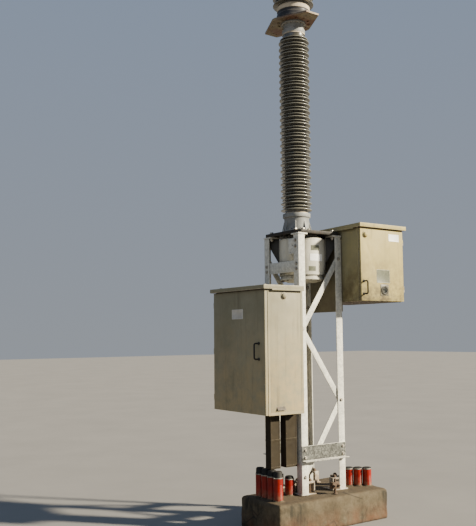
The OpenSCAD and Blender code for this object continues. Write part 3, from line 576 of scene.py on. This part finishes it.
def lathe(bm, outline, steps, centre=(0, 0, 0), matrix=Matrix(), wobble=0):
    """Turns (radius, height) points round a vertical axis. A radius of 0 closes an end."""
    part = fresh()
    angles = [2 * pi * i / steps for i in range(steps)]
    rings = []
    for radius, z in outline:
        ring = []
        for a in angles if radius else (0,):
            r = radius * (1 + wobble * noise.noise(Vector((cos(a) * 3, sin(a) * 3, centre[0] * 9))))
            ring.append(part.verts.new((r * cos(a), r * sin(a), z)))
        rings.append(ring)
    for a, b in zip(rings, rings[1:]):
        bridge(part, a, b)
    merge(bm, part, Matrix.Translation(centre) @ matrix)
    part.free()


def at(place, axis, spin=0):
    """The matrix that takes Z to an axis at a place."""
    turn = Vector(axis).to_track_quat("Z", "Y").to_matrix().to_4x4()
    return Matrix.Translation(place) @ turn @ Matrix.Rotation(spin, 4, "Z")


def sweep(bm, points, radii, sides, closed=False):
    """A tube along points, with a radius at each."""
    part = fresh()
    count = len(points)
    turns = [2 * pi * k / sides for k in range(sides)]
    rings = []
    side = None
    for i, p in enumerate(points):
        before = points[i - 1] if closed or i else p
        after = points[(i + 1) % count] if closed or i < count - 1 else p
        along = (after - before).normalized()
        if side is None:
            side = along.cross(Vector((0, 0, 1)) if abs(along.z) < 0.9 else Vector((1, 0, 0))).normalized()
        side = (side - along * side.dot(along)).normalized()
        other = along.cross(side)
        rings.append([part.verts.new(p + radii[i] * (cos(a) * side + sin(a) * other)) for a in turns])
    for i in range(count if closed else count - 1):
        bridge(part, rings[i], rings[(i + 1) % count])
    if not closed:
        part.faces.new(rings[0][::-1])
        part.faces.new(rings[-1])
    merge(bm, part)
    part.free()


def bead(bm, start, end, radius):
    """A rippled weld bead between two points."""
    count = max(4, int((end - start).length / (radius * 0.8)))
    points, radii = [], []
    for i in range(count + 1):
        jolt = Vector([rng.uniform(-1, 1) for _ in range(3)]) * radius * 0.12
        points.append(start.lerp(end, i / count) + jolt)
        radii.append(radius * (1 + 0.16 * cos(i * pi)) * (0.6 if i in (0, count) else 1))
    sweep(bm, points, radii, 7)


def bolts(name, places, radius, look="steel", nut=False):
    """Washers with hexagon heads, or with nuts, one at each (place, outward axis)."""
    washer = [(0, 0), (2.15, 0), (2.15, 0.3), (1.9, 0.36), (0, 0.36)]
    end = [(0, 1.9), (0.98, 1.9), (0.98, 2.75), (0.8, 2.95), (0, 2.95)]
    across, low, high = 1.85 * radius, 0.36 * radius, (1.95 if nut else 1.65) * radius
    chamfer = high - (high - low) * 0.22
    part, bm = fresh(), fresh()
    lathe(part, [(r * radius, z * radius) for r, z in washer], 20)
    lathe(part, [(0, low), (across, low), (across, chamfer), (across * 0.88, high), (0, high)], 6)
    if nut:
        lathe(part, [(r * radius, z * radius) for r, z in end], 14)
    for place, axis in places:
        merge(bm, part, at(place, axis, rng.uniform(0, 6.28)))
    part.free()
    piece(name, bm, look, smooth=25)


def screws(name, places, radius, look="steel", body="root"):
    """Low domed heads, one at each (place, outward axis)."""
    bm = fresh()
    rim, rise = radius * 0.15, radius * 0.45
    dome = [(radius * cos(a), rim + rise * sin(a)) for a in (0, 0.5, 1)]
    for place, axis in places:
        lathe(bm, [(0, 0), (radius, 0)] + dome + [(0, rim + rise)], 12, matrix=at(place, axis))
    piece(name, bm, look, body, smooth=50)


def skin(nodes, look, width, segments=2, angle=28, smooth=32, name="", keep=None):
    """Copies of CAD nodes, or of the vertices that keep chooses, with rounded edges, in their place."""
    for node in nodes.split():
        bm = fresh()
        bm.from_mesh(CAD[node].data)
        if keep:
            bmesh.ops.delete(bm, geom=[v for v in bm.verts if not keep(v.co)], context="VERTS")
        bmesh.ops.remove_doubles(bm, verts=bm.verts, dist=2e-5)
        bmesh.ops.dissolve_limit(bm, angle_limit=radians(1.2), verts=bm.verts, edges=bm.edges)
        sharp = [e for e in bm.edges if len(e.link_faces) == 2 and e.calc_face_angle(0) > radians(angle)]
        bevel(bm, sharp, width, segments)
        piece(name or node + "_finish", bm, look, CAD[node]["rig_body"], node, smooth)


def rounded(x1, x2, z1, z2, radius, steps):
    """A rectangle with round corners, each in a number of steps, as (x, z) points."""
    points = []
    for x, z, start in ((x2 - radius, z2 - radius, 0), (x1 + radius, z2 - radius, 90),
                        (x1 + radius, z1 + radius, 180), (x2 - radius, z1 + radius, 270)):
        for k in range(steps + 1):
            a = radians(start + 90 * k / steps)
            points.append((x + radius * cos(a), z + radius * sin(a)))
    return points


def ring_places(radius, count, z, axis, phase, centre=POLE):
    """(place, axis) for bolts on a circle round a vertical axis."""
    angles = row(phase, 2 * pi / count, count)
    return [(centre + Vector((radius * cos(a), radius * sin(a), z)), axis) for a in angles]


# The plinth and what stands on it

def make_plinth():
    """The CAD plinth as a fine mesh with worn edges, hollows and a rough face."""
    source = add("source", CAD["plinth"].data.copy())
    bm = bmesh.new()
    bm.from_mesh(source.data)
    bmesh.ops.remove_doubles(bm, verts=bm.verts, dist=2e-5)
    bm.to_mesh(source.data)
    bm.free()
    remesh = source.modifiers.new("voxels", "REMESH")
    remesh.mode = "VOXEL"
    remesh.voxel_size = 0.013
    bpy.context.view_layer.update()
    shape = bpy.data.meshes.new_from_object(source.evaluated_get(bpy.context.evaluated_depsgraph_get()))
    bpy.data.objects.remove(source)
    bm = fresh()
    bm.from_mesh(shape)
    bpy.data.meshes.remove(shape)
    for _ in range(3):
        bmesh.ops.smooth_vert(
            bm, verts=bm.verts, factor=0.5, use_axis_x=True, use_axis_y=True, use_axis_z=True)
    bm.normal_update()
    moves = []
    for v in bm.verts:
        wave = 0.0035 * noise.noise(v.co * 9) + 0.0022 * noise.noise(v.co * 31)
        if abs(v.normal.x) + abs(v.normal.y) + abs(v.normal.z) > 1.15:
            wave -= 0.009 * max(0, noise.noise(v.co * 14 + Vector((3, 1, 5))) - 0.05)
        if v.normal.z > 0.8:
            wave = min(wave * 0.4 - 0.0006, 0)
        moves.append(v.normal * wave)
    for v, move in zip(bm.verts, moves):
        v.co += move
        v.co.z = max(v.co.z, 0)
    piece("plinth_concrete", bm, "concrete", cad="plinth", smooth=60)


STUB_RADIUS = 0.046
STUB_BORE = 0.041
STUB_PITCH = 0.094
RIB_PITCH = 0.01


def stub_row(x, y, direction, count, height, seal, clamp):
    """Conduit stubs in a row: (x, y, height, height of the seal, direction of the clamp's screw)."""
    turn = radians(direction)
    return [(x + step * cos(turn), y + step * sin(turn), height, seal, radians(clamp))
            for step in row(0, STUB_PITCH, count)]


LEFT_STUBS = stub_row(-0.62, -0.33, 90, 4, 0.212, 0.068, 180)
LEFT_STUBS += stub_row(-0.352, -0.165, 0, 1, 0.15, 0.035, 232)
RIGHT_STUBS = stub_row(0.441, -0.163, -37.5, 3, 0.168, 0.017, 232)


def make_ground_fixings():
    """Mortar under the foot plates and round the stubs, anchors and the earth stud."""
    grout = fresh()
    foot_middle, sunk = 0.21, 0.004
    bed = [(0, 0), (0.15, 0), (0.136, 0.0055), (0.13, 0.0095), (0, 0.0095)]
    for x, y in QUARTERS:
        foot = Vector((x * foot_middle, y * foot_middle, DECK - sunk))
        lathe(grout, bed, 4, foot, Matrix.Rotation(pi / 4, 4, "Z"))
    for x, y, *_ in LEFT_STUBS + RIGHT_STUBS:
        rim = (STUB_RADIUS + 0.016 + rng.uniform(0, 0.006), 0)
        ring = [rim, (0.055, 0.004), (0.0485, 0.008), (0.0455, 0.015), (0.044, 0.015), (0.044, 0), rim]
        lathe(grout, ring, 40, (x, y, DECK - 0.002), wobble=0.1)
    piece("mortar_beds", grout, "concrete", smooth=50)
    skin("anchor_bolts earth_stud", "rusty", 0.0012)


def conduit_tube(bm, x, y, height):
    """A ribbed stub with a round rim. Its bore is 30 mm deep."""
    top = DECK + height
    foot, rim, groove = 0.012, 0.0015, 0.001
    outline = [(0, DECK), (STUB_RADIUS, DECK), (STUB_RADIUS, DECK + foot)]
    for k in range(int((height - 0.06) / RIB_PITCH)):
        z = DECK + foot + k * RIB_PITCH
        outline += [(STUB_RADIUS - groove, z + 0.0015), (STUB_RADIUS - groove, z + 0.0045),
                    (STUB_RADIUS, z + 0.006), (STUB_RADIUS, z + RIB_PITCH)]
    outline += [(STUB_RADIUS, top - rim), (STUB_RADIUS - rim, top), (STUB_BORE + rim, top),
                (STUB_BORE, top - rim), (STUB_BORE, top - 0.03), (0, top - 0.03)]
    lathe(bm, outline, 48, (x, y, 0))


def hose_clamp(bm, x, y, low, turn):
    """A steel band round a seal, with its screw's housing."""
    inner, outer, start, end = 0.0458, 0.0467, low + 0.0025, low + 0.0105
    band = [(inner, start), (outer, start), (outer + 0.0001, end), (inner, end), (inner, start)]
    lathe(bm, band, 40, (x, y, 0))
    place = Matrix.Translation((x, y, low + 0.0065)) @ Matrix.Rotation(turn, 4, "Z")
    box(bm, (0.0455, -0.008, -0.0058), (0.0535, 0.008, 0.0058), 0.0008, place)
    screw = [(0, 0), (0.0042, 0), (0.0042, 0.005), (0.0034, 0.006), (0, 0.006)]
    lathe(bm, screw, 6, matrix=place @ at((0.05, 0.008, 0), (0, 1, 0)))


def make_conduits():
    for side, stubs in (("left", LEFT_STUBS), ("right", RIGHT_STUBS)):
        tubes = fresh()
        for x, y, height, *_ in stubs:
            conduit_tube(tubes, x, y, height)
        piece("conduits_" + side, tubes, "conduit", cad="conduit_stubs_" + side, smooth=40)
    caps, clamps = fresh(), fresh()
    for x, y, height, seal, turn in LEFT_STUBS + RIGHT_STUBS:
        low = DECK + height
        crown = low + seal
        plug = [(0, low - 0.024), (0.0367, low - 0.024), (0.0407, low - 0.018), (0.0407, low)]
        band = [(0.0452, low), (0.046, low + 0.001), (0.046, low + 0.012), (0.045, low + 0.014),
                (0.043, low + 0.018)]
        cap = [(0.0408, crown - 0.012), (0.0395, crown - 0.007), (0.036, crown - 0.002), (0.0315, crown),
               (0.024, crown - 0.0015), (0, crown - 0.0025)]
        lathe(caps, plug + band + cap, 40, (x, y, 0))
        hose_clamp(clamps, x, y, low, turn)
    piece("seal_caps", caps, "rubber", cad="conduit_seals", smooth=40)
    piece("seal_clamps", clamps, "steel")


# The stand

def brace_bolts():
    """A bolt at each bend of the zigzags. The far zigzag is the near one turned round."""
    drop, rise, cross_seat = 0.245, 0.725, 0.0003
    heads, nuts = [], []
    for turn in (1, -1):
        for k in range(4):
            x, z = turn * SIDES[1 - k % 2], TOP - drop - rise * k
            bars = 2 if k in (1, 2) else 1
            inner = EDGE - FLAT - bars * FLAT - (bars - 1) * cross_seat
            heads.append(((x, -turn * EDGE, z), (0, -turn, 0)))
            nuts.append(((x, -turn * inner, z), (0, turn, 0)))
    bolts("brace_bolts", heads, 0.0085)
    bolts("brace_nuts", nuts, 0.0085, nut=True)


def frame_bolts():
    """Bolts of the lower beams, the side bar and the knee plate."""
    heads, nuts = [], []
    for y in (-1, 1):
        for x in (-0.247, 0.247):
            for z in (0.663, 0.737):
                heads.append(((x, y * (EDGE + FLAT), z), (0, y, 0)))
                nuts.append(((x, y * (EDGE - FLAT), z), (0, -y, 0)))
    bar = [(y, z) for y in SIDES for z in (2.528, 2.582)]
    knee = [(-0.234, z) for z in (2.758, 2.82)]
    for y, z in bar + knee:
        heads.append(((-EDGE, y, z), (-1, 0, 0)))
        nuts.append(((-EDGE + 2 * FLAT, y, z), (1, 0, 0)))
    bolts("frame_bolts", heads, 0.0078)
    bolts("frame_nuts", nuts, 0.0078, nut=True)


def cabinet_bolts():
    """Bolts of the cubicle's rails and the drive cabinet's plate."""
    rail_levels, plate_levels = (1.254, 2.154), (2.16, 2.38, 2.6, 2.8)
    rails = [((FLAT - EDGE, y, z), (1, 0, 0)) for y in SIDES for z in rail_levels]
    plate = [((EDGE - FLAT, y, z), (-1, 0, 0)) for y in SIDES for z in plate_levels]
    plate += [((EDGE + MOUNT_PLATE, y, plate_levels[0]), (1, 0, 0)) for y in SIDES]
    bolts("rail_bolts", rails, 0.0078, nut=True)
    bolts("mount_plate_bolts", plate, 0.0085)


def weld_beads():
    """Beads along the flanges of each leg, at foot and cap, and at the anchor chairs. A bead's ends are
    distances from the leg's outer corner, and each bead has a mirrored twin."""
    flanges = ((0.002, -0.0008, 0.078, -0.0008), (0.014, 0.0088, 0.07, 0.0088))
    beside_chairs = ((0.082, 0.0095, 0.082, 0.062), (0.155, 0.0095, 0.155, 0.062))
    rounds = ((DECK + 0.0125, 0.0038, flanges), (TOP - 0.0155, 0.0034, flanges),
              (DECK + 0.013, 0.003, beside_chairs))
    bm = fresh()
    for sx, sy in QUARTERS:
        for z, radius, beads in rounds:
            for a1, b1, a2, b2 in beads:
                for ends in (((a1, b1), (a2, b2)), ((b1, a1), (b2, a2))):
                    start, end = (Vector((sx * (EDGE - a), sy * (EDGE - b), z)) for a, b in ends)
                    bead(bm, start, end, radius)
    piece("weld_beads", bm, "zinc", smooth=60)


def make_stand():
    skin("leg_front_left leg_front_right leg_back_left leg_back_right", "zinc", 0.0016)
    skin("braces_front braces_back side_bar knee_plate cubicle_rails", "zinc", 0.0014)
    skin("beam_front beam_back", "spangle", 0.0018)
    skin("drive_mount_plate", "mount", 0.002)
    skin("pole_base_plate", "base", 0.003)
    skin("pole_bolts", "steel", 0.0014, angle=24)
    brace_bolts()
    frame_bolts()
    cabinet_bolts()
    weld_beads()


# The cabinets

def bare_plate(name, local, x1, x2, z1, z2, look, body):
    """A plain plate with rounded corners and a rivet at each corner, on a door's face."""
    thick, rivet, inset = 0.0012, 0.0028, 0.009
    middle_x, middle_z = (x1 + x2) / 2, (z1 + z2) / 2
    section = ((0.0002, 0), (-thick * 0.6, 0), (-thick, 0.0006), (-thick, 0.0035), (-thick * 0.7, 0.0045))
    bm = fresh()
    loops = []
    for depth, shrink in section:
        loop = []
        for x, z in rounded(x1, x2, z1, z2, 0.006, 3):
            dx = shrink if x < middle_x else -shrink
            dz = shrink if z < middle_z else -shrink
            loop.append(bm.verts.new(local(x + dx, depth, z + dz)))
        loops.append(loop)
    for n, (a, b) in enumerate(zip(loops, loops[1:])):
        faces = bridge(bm, a, b)
        if n < 3:
            mark(bm, faces)
    bm.faces.new(loops[-1])
    bm.faces.new(loops[0][::-1])
    outward = local(0, -1, 0) - local(0, 0, 0)
    dome = [(rivet * cos(a), rivet * 0.7 * sin(a)) for a in (0.4, 0.8, 1.2)]
    for x in (x1 + inset, x2 - inset):
        for z in (z1 + inset, z2 - inset):
            place = at(local(x, -thick * 0.7, z), outward)
            lathe(bm, [(0, 0), (rivet, 0)] + dome + [(0, rivet * 0.7)], 10, matrix=place)
    bmesh.ops.recalc_face_normals(bm, faces=bm.faces)
    piece(name, bm, look, body, smooth=35)


def cabinet(name, local, size, hinges, paint):
    """What both cabinets have."""
    width, depth, height = size
    across = local(1, 0, 0) - local(0, 0, 0)
    skin(name + "_housing", paint, 0.0016)
    skin(name + "_roof", paint, 0.004, 3)
    skin(name + "_door", paint, 0.0022, 3)
    skin(name + "_hinges", "hinge", 0.0008, 1)
    skin(name + "_handle", "black", 0.0008, 1, smooth=45)

    # a rubber cord round the mouth, behind the door
    inset, cord = 0.0135, fresh()
    mouth = [local(x, 0.0312, z) for x, z in rounded(inset, width - inset, inset, height - inset, 0.012, 4)]
    sweep(cord, mouth, [0.0027] * len(mouth), 8, closed=True)
    piece(name + "_gasket", cord, "rubber", smooth=60)

    # strips where the sheets are folded over, and the floor with its gland plate
    thick, near, far = 0.0016, 0.034, depth - 0.03
    x1, x2, y1, y2 = width * 0.22, width * 0.78, depth * 0.34, depth * 0.72
    folds = fresh()
    for x, sign in ((0, -1), (width, 1)):
        strips = ((near, near + 0.022, height - 0.002), (far, depth - 0.002, height - 0.002),
                  (near + 0.022, far, 0.026))
        for start, end, high in strips:
            box(folds, local(x, start, 0.002), local(x + sign * thick, end, high), 0.0006)
    box(folds, local(0.03, near + 0.05, 0), local(width - 0.03, depth - 0.05, -thick), 0.0006)
    box(folds, local(x1, y1, -thick), local(x2, y2, -thick - 0.003), 0.001)
    piece(name + "_folds", folds, paint)
    heads = [(local(x1 + t * (x2 - x1), y, -0.0046), (0, 0, -1))
             for t in (0.04, 0.35, 0.65, 0.96) for y in (y1 + 0.012, y2 - 0.012)]
    bolts(name + "_gland_bolts", heads, 0.0038)
    heads = [(local(x, depth - 0.016, z), axis)
             for x, axis in ((-thick, -across), (width + thick, across))
             for z in row(0.1, (height - 0.2) / 4, 5)]
    screws(name + "_side_screws", heads, 0.0042)

    # a cap on each hinge pin and two screws in each leaf on the housing
    cap = [(0, 0), (0.0052, 0), (0.0062, 0.001), (0.0062, 0.003), (0.0045, 0.0045), (0, 0.0048)]
    screw = [(0, 0), (0.0034, 0), (0.0034, 0.001), (0.0024, 0.002), (0, 0.002)]
    caps = fresh()
    for z in row(HINGE_MARGIN, (height - 2 * HINGE_MARGIN) / (hinges - 1), hinges):
        lathe(caps, cap, 16, local(width + 0.013, 0.014, z + 0.034))
        for below in (0.021, 0.007):
            lathe(caps, screw, 12, matrix=at(local(width + 0.005, 0.06, z - below), across))
    piece(name + "_hinge_caps", caps, "hinge")


def roof_drips(name, local, height, plans, paint):
    """Folded drip edges under the rim of a roof. A plan is (x1, x2, y1, y2)."""
    bm = fresh()
    for x1, x2, y1, y2 in plans:
        box(bm, local(x1, y1, height - 0.012), local(x2, y2, height + 0.002), 0.0004)
    piece(name + "_roof_drips", bm, paint)


def vent_screws(name, local, x, z, body="root"):
    """The four screws of a round vent. Its x and z are in the plane that local gives them."""
    radius, angles = 0.033, (0.785, 2.356, 3.927, 5.498)
    heads = [(local(x + radius * cos(a), z + radius * sin(a)), (0, -1, 0)) for a in angles]
    screws(name + "_vent_screws", heads, 0.0022, body=body)


def make_control():
    skin("control_vents", "cubicle", 0.0012, name="control_vent_dome", keep=lambda p: p.z > 1.5)
    skin("control_vents", "dark", 0.0012, name="control_vent_hood", keep=lambda p: p.z < 1.5)
    cabinet("control", in_control, CONTROL_SIZE, 3, "cubicle")
    bare_plate("control_bare_plate", in_control, 0.36, 0.55, 0.921, 1.016, "plate", "control_door")

    width, depth, height = CONTROL_SIZE
    left, right, fold = -ROOF_REACH, width + ROOF_REACH, 0.0015
    plans = ((left, left + fold, 0.07, depth - 0.002), (right - fold, right, 0.07, depth - 0.002))
    roof_drips("control", in_control, height, plans, "cubicle")
    heads = [(in_control(x, y, height + 0.04), (0, 0, 1))
             for x in (0.06, width - 0.06) for y in (0.05, depth - 0.07)]
    bolts("control_roof_bolts", heads, 0.0075)
    rim = height + 0.014
    heads = [(in_control(x, y, rim), axis)
             for y in row(0.06, 0.16, 3) for x, axis in ((left, (0, -1, 0)), (right, (0, 1, 0)))]
    heads += [(in_control(x, -ROOF_REACH, rim), (-1, 0, 0)) for x in row(0.05, 0.196, 5)]
    screws("control_roof_screws", heads, 0.0036)
    vent_screws("control", lambda y, z: in_control(-0.004, y, z), 0.231, 1.136)


def make_drive():
    skin("drive_vent", "cabinet", 0.0012)
    skin("drive_window_frame", "bezel", 0.001)
    skin("drive_window_glass", "glass", 0.0008, 1)
    cabinet("drive", in_drive, DRIVE_SIZE, 2, "cabinet")
    bare_plate("drive_bare_plate", in_drive, 0.217, 0.409, 0.192, 0.33, "label", "drive_door")
    bare_plate("drive_white_plate", in_drive, 0.404, 0.559, 0.634, 0.71, "enamel", "drive_door")

    width, depth, height = DRIVE_SIZE
    left, right, back, fold = -ROOF_REACH, width + ROOF_REACH, depth + ROOF_REACH, 0.0015
    plans = ((left, left + fold, 0.07, back - fold), (right - fold, right, 0.1, back - fold),
             (left, right, back - fold, back))
    roof_drips("drive", in_drive, height, plans, "cabinet")
    rim, door_rim = height + 0.012, height + 0.014
    heads = [(in_drive(x, y, rim), axis)
             for y in row(0.04, 0.155, 6) for x, axis in ((left, (-1, 0, 0)), (right, (1, 0, 0)))]
    heads += [(in_drive(x, y, z), axis) for x in row(0.05, 0.17, 4)
              for y, z, axis in ((-ROOF_REACH, door_rim, (0, -1, 0)), (back, rim, (0, 1, 0)))]
    screws("drive_roof_screws", heads, 0.0036)
    reach = 0.049
    heads = [(in_drive(WINDOW_X + x * reach, -0.003, WINDOW_Z + z * reach), (0, -1, 0)) for x, z in QUARTERS]
    screws("drive_window_screws", heads, 0.003, body="drive_door")
    vent_screws("drive", lambda x, z: in_drive(x, -0.004, z), 0.065, 0.683, "drive_door")
    heads = [(in_drive(0.004, y, z), (1, 0, 0)) for y in (0.335, 0.515) for z in (0.08, 0.32, 0.56)]
    bolts("drive_inner_bolts", heads, 0.0085)


def make_ducts():
    """The cable ducts with edge strips, screws, bands and a collar under the cubicle."""
    skin("cable_ducts", "duct", 0.001, 1)
    near, far, low, high = -0.25, -0.165, 0.588, 1.1
    strip, band_height, band_thick = 0.014, 0.02, 0.0016
    trim = fresh()
    heads = []
    for x1, x2 in ((-0.64, -0.528), (-0.455, -0.32)):
        for a, b in ((x1, x1 + strip), (x2 - strip, x2)):
            box(trim, (a, near - 0.0018, low), (b, near, high), 0.0005)
            heads += [(((a + b) / 2, near - 0.0018, z), (0, -1, 0)) for z in row(0.64, 0.135, 4)]
        for z in (low - 0.002, 0.842):
            top = z + band_height
            box(trim, (x1 - band_thick, near - 0.0034, z), (x2 + band_thick, near, top), 0.0006)
            box(trim, (x1 - band_thick, near, z), (x1, far, top), 0.0004)
            box(trim, (x2, near, z), (x2 + band_thick, far, top), 0.0004)
        box(trim, (x1 - 0.012, near - 0.012, high + 0.0015), (x2 + 0.012, far + 0.01, high + 0.003), 0.0005)
    piece("duct_trim", trim, "duct")
    screws("duct_screws", heads, 0.0038, "rusty")


# The pole

def drum_plate(name, start, end, low, high, look):
    """A thin plate bent round the drum between two angles, with a rivet at each corner."""
    inner, outer, slant, steps = DRUM_RADIUS + 0.0004, DRUM_RADIUS + 0.0018, 0.0008, 10
    section = ((inner, low), (outer, low + slant), (outer, high - slant), (inner, high))
    bm = fresh()
    loops = []
    for i in range(steps + 1):
        a = radians(start + (end - start) * i / steps)
        loops.append([bm.verts.new((r * cos(a), r * sin(a), z)) for r, z in section])
    for a, b in zip(loops, loops[1:]):
        bridge(bm, a, b)
    bm.faces.new(loops[0])
    bm.faces.new(loops[-1][::-1])
    for share in (0.08, 0.92):
        a = radians(start + (end - start) * share)
        outward = Vector((cos(a), sin(a), 0))
        for z in (low + 0.008, high - 0.008):
            place = outward * (DRUM_RADIUS + 0.0017) + Vector((0, 0, z))
            lathe(bm, [(0, 0), (0.0026, 0), (0.0022, 0.0012), (0, 0.0018)], 8, matrix=at(place, outward))
    bmesh.ops.recalc_face_normals(bm, faces=bm.faces)
    piece(name, bm, look, smooth=40)


def make_drum():
    """The drum on the stand's axis, with bands, a drain plug and bare plates."""
    skin("mechanism_drum", "drum", 0.0022, smooth=34)
    places = ring_places(0.22, 16, DRUM_LOW + 0.0002, (0, 0, -1), 0.1, Vector((0, 0, 0)))
    bolts("drum_bolts", places, 0.0052, "rusty")
    inner = DRUM_RADIUS - 0.0005
    bands = fresh()
    for middle, height, proud in ((2.845, 0.01, 0.0008), (2.492, 0.014, 0.001)):
        low, high, outer = middle - height / 2, middle + height / 2, DRUM_RADIUS + proud
        foot, head = (inner, low), (inner, high)
        lathe(bands, [foot, (outer, low), (outer + 0.0004, middle), (outer, high), head, foot], 96)
    low, high = DRUM_LOW - 0.026, DRUM_LOW - 0.017
    lathe(bands, [(0, low), (0.022, low), (0.024, low + 0.003), (0.024, high), (0, high)], 6)
    piece("drum_bands", bands, "drum", smooth=40)
    drum_plate("drum_plate_top", -108, -85, 2.728, 2.781, "label")
    drum_plate("drum_plate_middle", -111, -74, 2.62, 2.693, "enamel")
    drum_plate("drum_plate_low", -114, -96, 2.516, 2.564, "label")


def shed_outline(root, tip, z):
    """One shed from its root up. Its tip is round, with its lowest point at z."""
    lip, under_angle, upper_angle = 0.004, radians(8), radians(20)
    low = z + (tip - root) * tan(under_angle)
    high = z + 2 * lip + (tip - root) * tan(upper_angle)
    root_below = [(root, low - 0.005), (root + 0.0015, low - 0.0018), (root + 0.005, low)]
    rim = [(tip - lip + lip * cos(a), z + lip + lip * sin(a))
           for a in (radians(d) for d in (-78, -45, -15, 15, 45, 78))]
    root_above = [(root + 0.005, high - 0.002), (root + 0.0015, high + 0.0015), (root, high + 0.005)]
    return root_below + rim + root_above


def make_insulator(name, low, length, core, large, small, pitch):
    """A column with large and small sheds by turns. The edge value grows from its core."""
    plain_ends = 0.02
    pairs = int((length - plain_ends) / pitch)
    start = low + (length - pairs * pitch) / 2
    outline = [(0, low), (core, low)]
    for z in row(start, pitch, pairs):
        outline += shed_outline(core, large, z) + shed_outline(core, small, z + pitch / 2)
    outline += [(core, low + length), (0, low + length)]
    bm = fresh()
    lathe(bm, outline, 72, POLE)
    layer = bm.faces.layers.float["edge"]
    for face in bm.faces:
        away = face.calc_center_median() - POLE
        face[layer] = (hypot(away.x, away.y) - core) / (small - core)
    piece(name + "_sheds", bm, "porcelain", cad=name + "_insulator", smooth=50)


def make_pole():
    make_drum()
    make_insulator("support", SUPPORT_LOW, SUPPORT_LENGTH, SUPPORT_CORE, large=0.164, small=0.15, pitch=0.07)
    make_insulator("chamber", CHAMBER_LOW, CHAMBER_LENGTH, CHAMBER_CORE, large=0.22, small=0.204, pitch=0.076)
    skin("support_bottom_flange", "flange", 0.0016, smooth=34)
    skin("support_top_flange", "flange", 0.002, smooth=34)
    skin("chamber_bottom_flange chamber_top_flange", "black_flange", 0.001, 1, smooth=34)
    skin("top_cap", "flange", 0.0015, smooth=34)
    skin("lower_terminal upper_terminal", "terminal", 0.0016)

    joints = fresh()
    for core, proud, z, height in (
            (SUPPORT_CORE, 0.0055, SUPPORT_LOW, 0.012), (SUPPORT_CORE, 0.0045, SUPPORT_TOP - 0.012, 0.012),
            (CHAMBER_CORE, 0.0055, CHAMBER_LOW, 0.011), (CHAMBER_CORE, 0.0055, CHAMBER_TOP - 0.011, 0.011)):
        inner, outer = core - 0.001, core + proud
        foot, head = (inner, z), (inner, z + height)
        bulge = [(outer, z), (outer - 0.001, z + height / 2), (outer - 0.003, z + height)]
        lathe(joints, [foot, *bulge, head, foot], 72, POLE)
    piece("cement_joints", joints, "cement", smooth=40)

    rings = fresh()
    for low, high in ((CHAMBER_LOW - COLLAR, CHAMBER_LOW - 0.0005),
                      (CHAMBER_TOP + 0.0005, CHAMBER_TOP + COLLAR)):
        outline = [(0.1755, low), (0.1765, low + 0.001), (0.1768, (low + high) / 2), (0.1765, high - 0.003),
                   (0.1735, high), (0.1755, low)]
        lathe(rings, outline, 96, POLE)
    piece("collar_rings", rings, "cement", smooth=40)

    up, down = (0, 0, 1), (0, 0, -1)
    places = ring_places(0.1425, 8, BASE_TOP + 0.026, up, radians(22.5))
    bolts("support_foot_nuts", places, 0.0062, nut=True)
    bolts("column_head_bolts", ring_places(0.1195, 12, TERMINAL_LOW - 0.022, down, 0.13), 0.0048)
    bolts("chamber_foot_bolts", ring_places(0.166, 12, TERMINAL_LOW, down, 0.05), 0.007, "terminal")
    bolts("chamber_head_bolts", ring_places(0.1665, 12, CAP_LOW, up, 0.05), 0.0062)
    bolts("cap_bolts", ring_places(0.1415, 10, CAP_LOW + 0.022, up, 0.2), 0.0038)


def make_floor():
    reach = 60
    mesh = bpy.data.meshes.new("floor")
    corners = [(x * reach, y * reach, 0) for x, y in ((-1, -1), (1, -1), (1, 1), (-1, 1))]
    mesh.from_pydata(corners, [], [(0, 1, 2, 3)])
    floor = add("floor", mesh)
    s = Surface("pale_floor", "concrete")
    s.colour = s.mix(s.patches(0.8, 5, 0.3, 0.7), (0.175, 0.166, 0.152), (0.2, 0.19, 0.175))
    mesh.materials.append(s.done(0.9))


set_camera()
set_light()
make_floor()
make_plinth()
make_ground_fixings()
make_conduits()
make_stand()
make_control()
make_drive()
make_ducts()
make_pole()
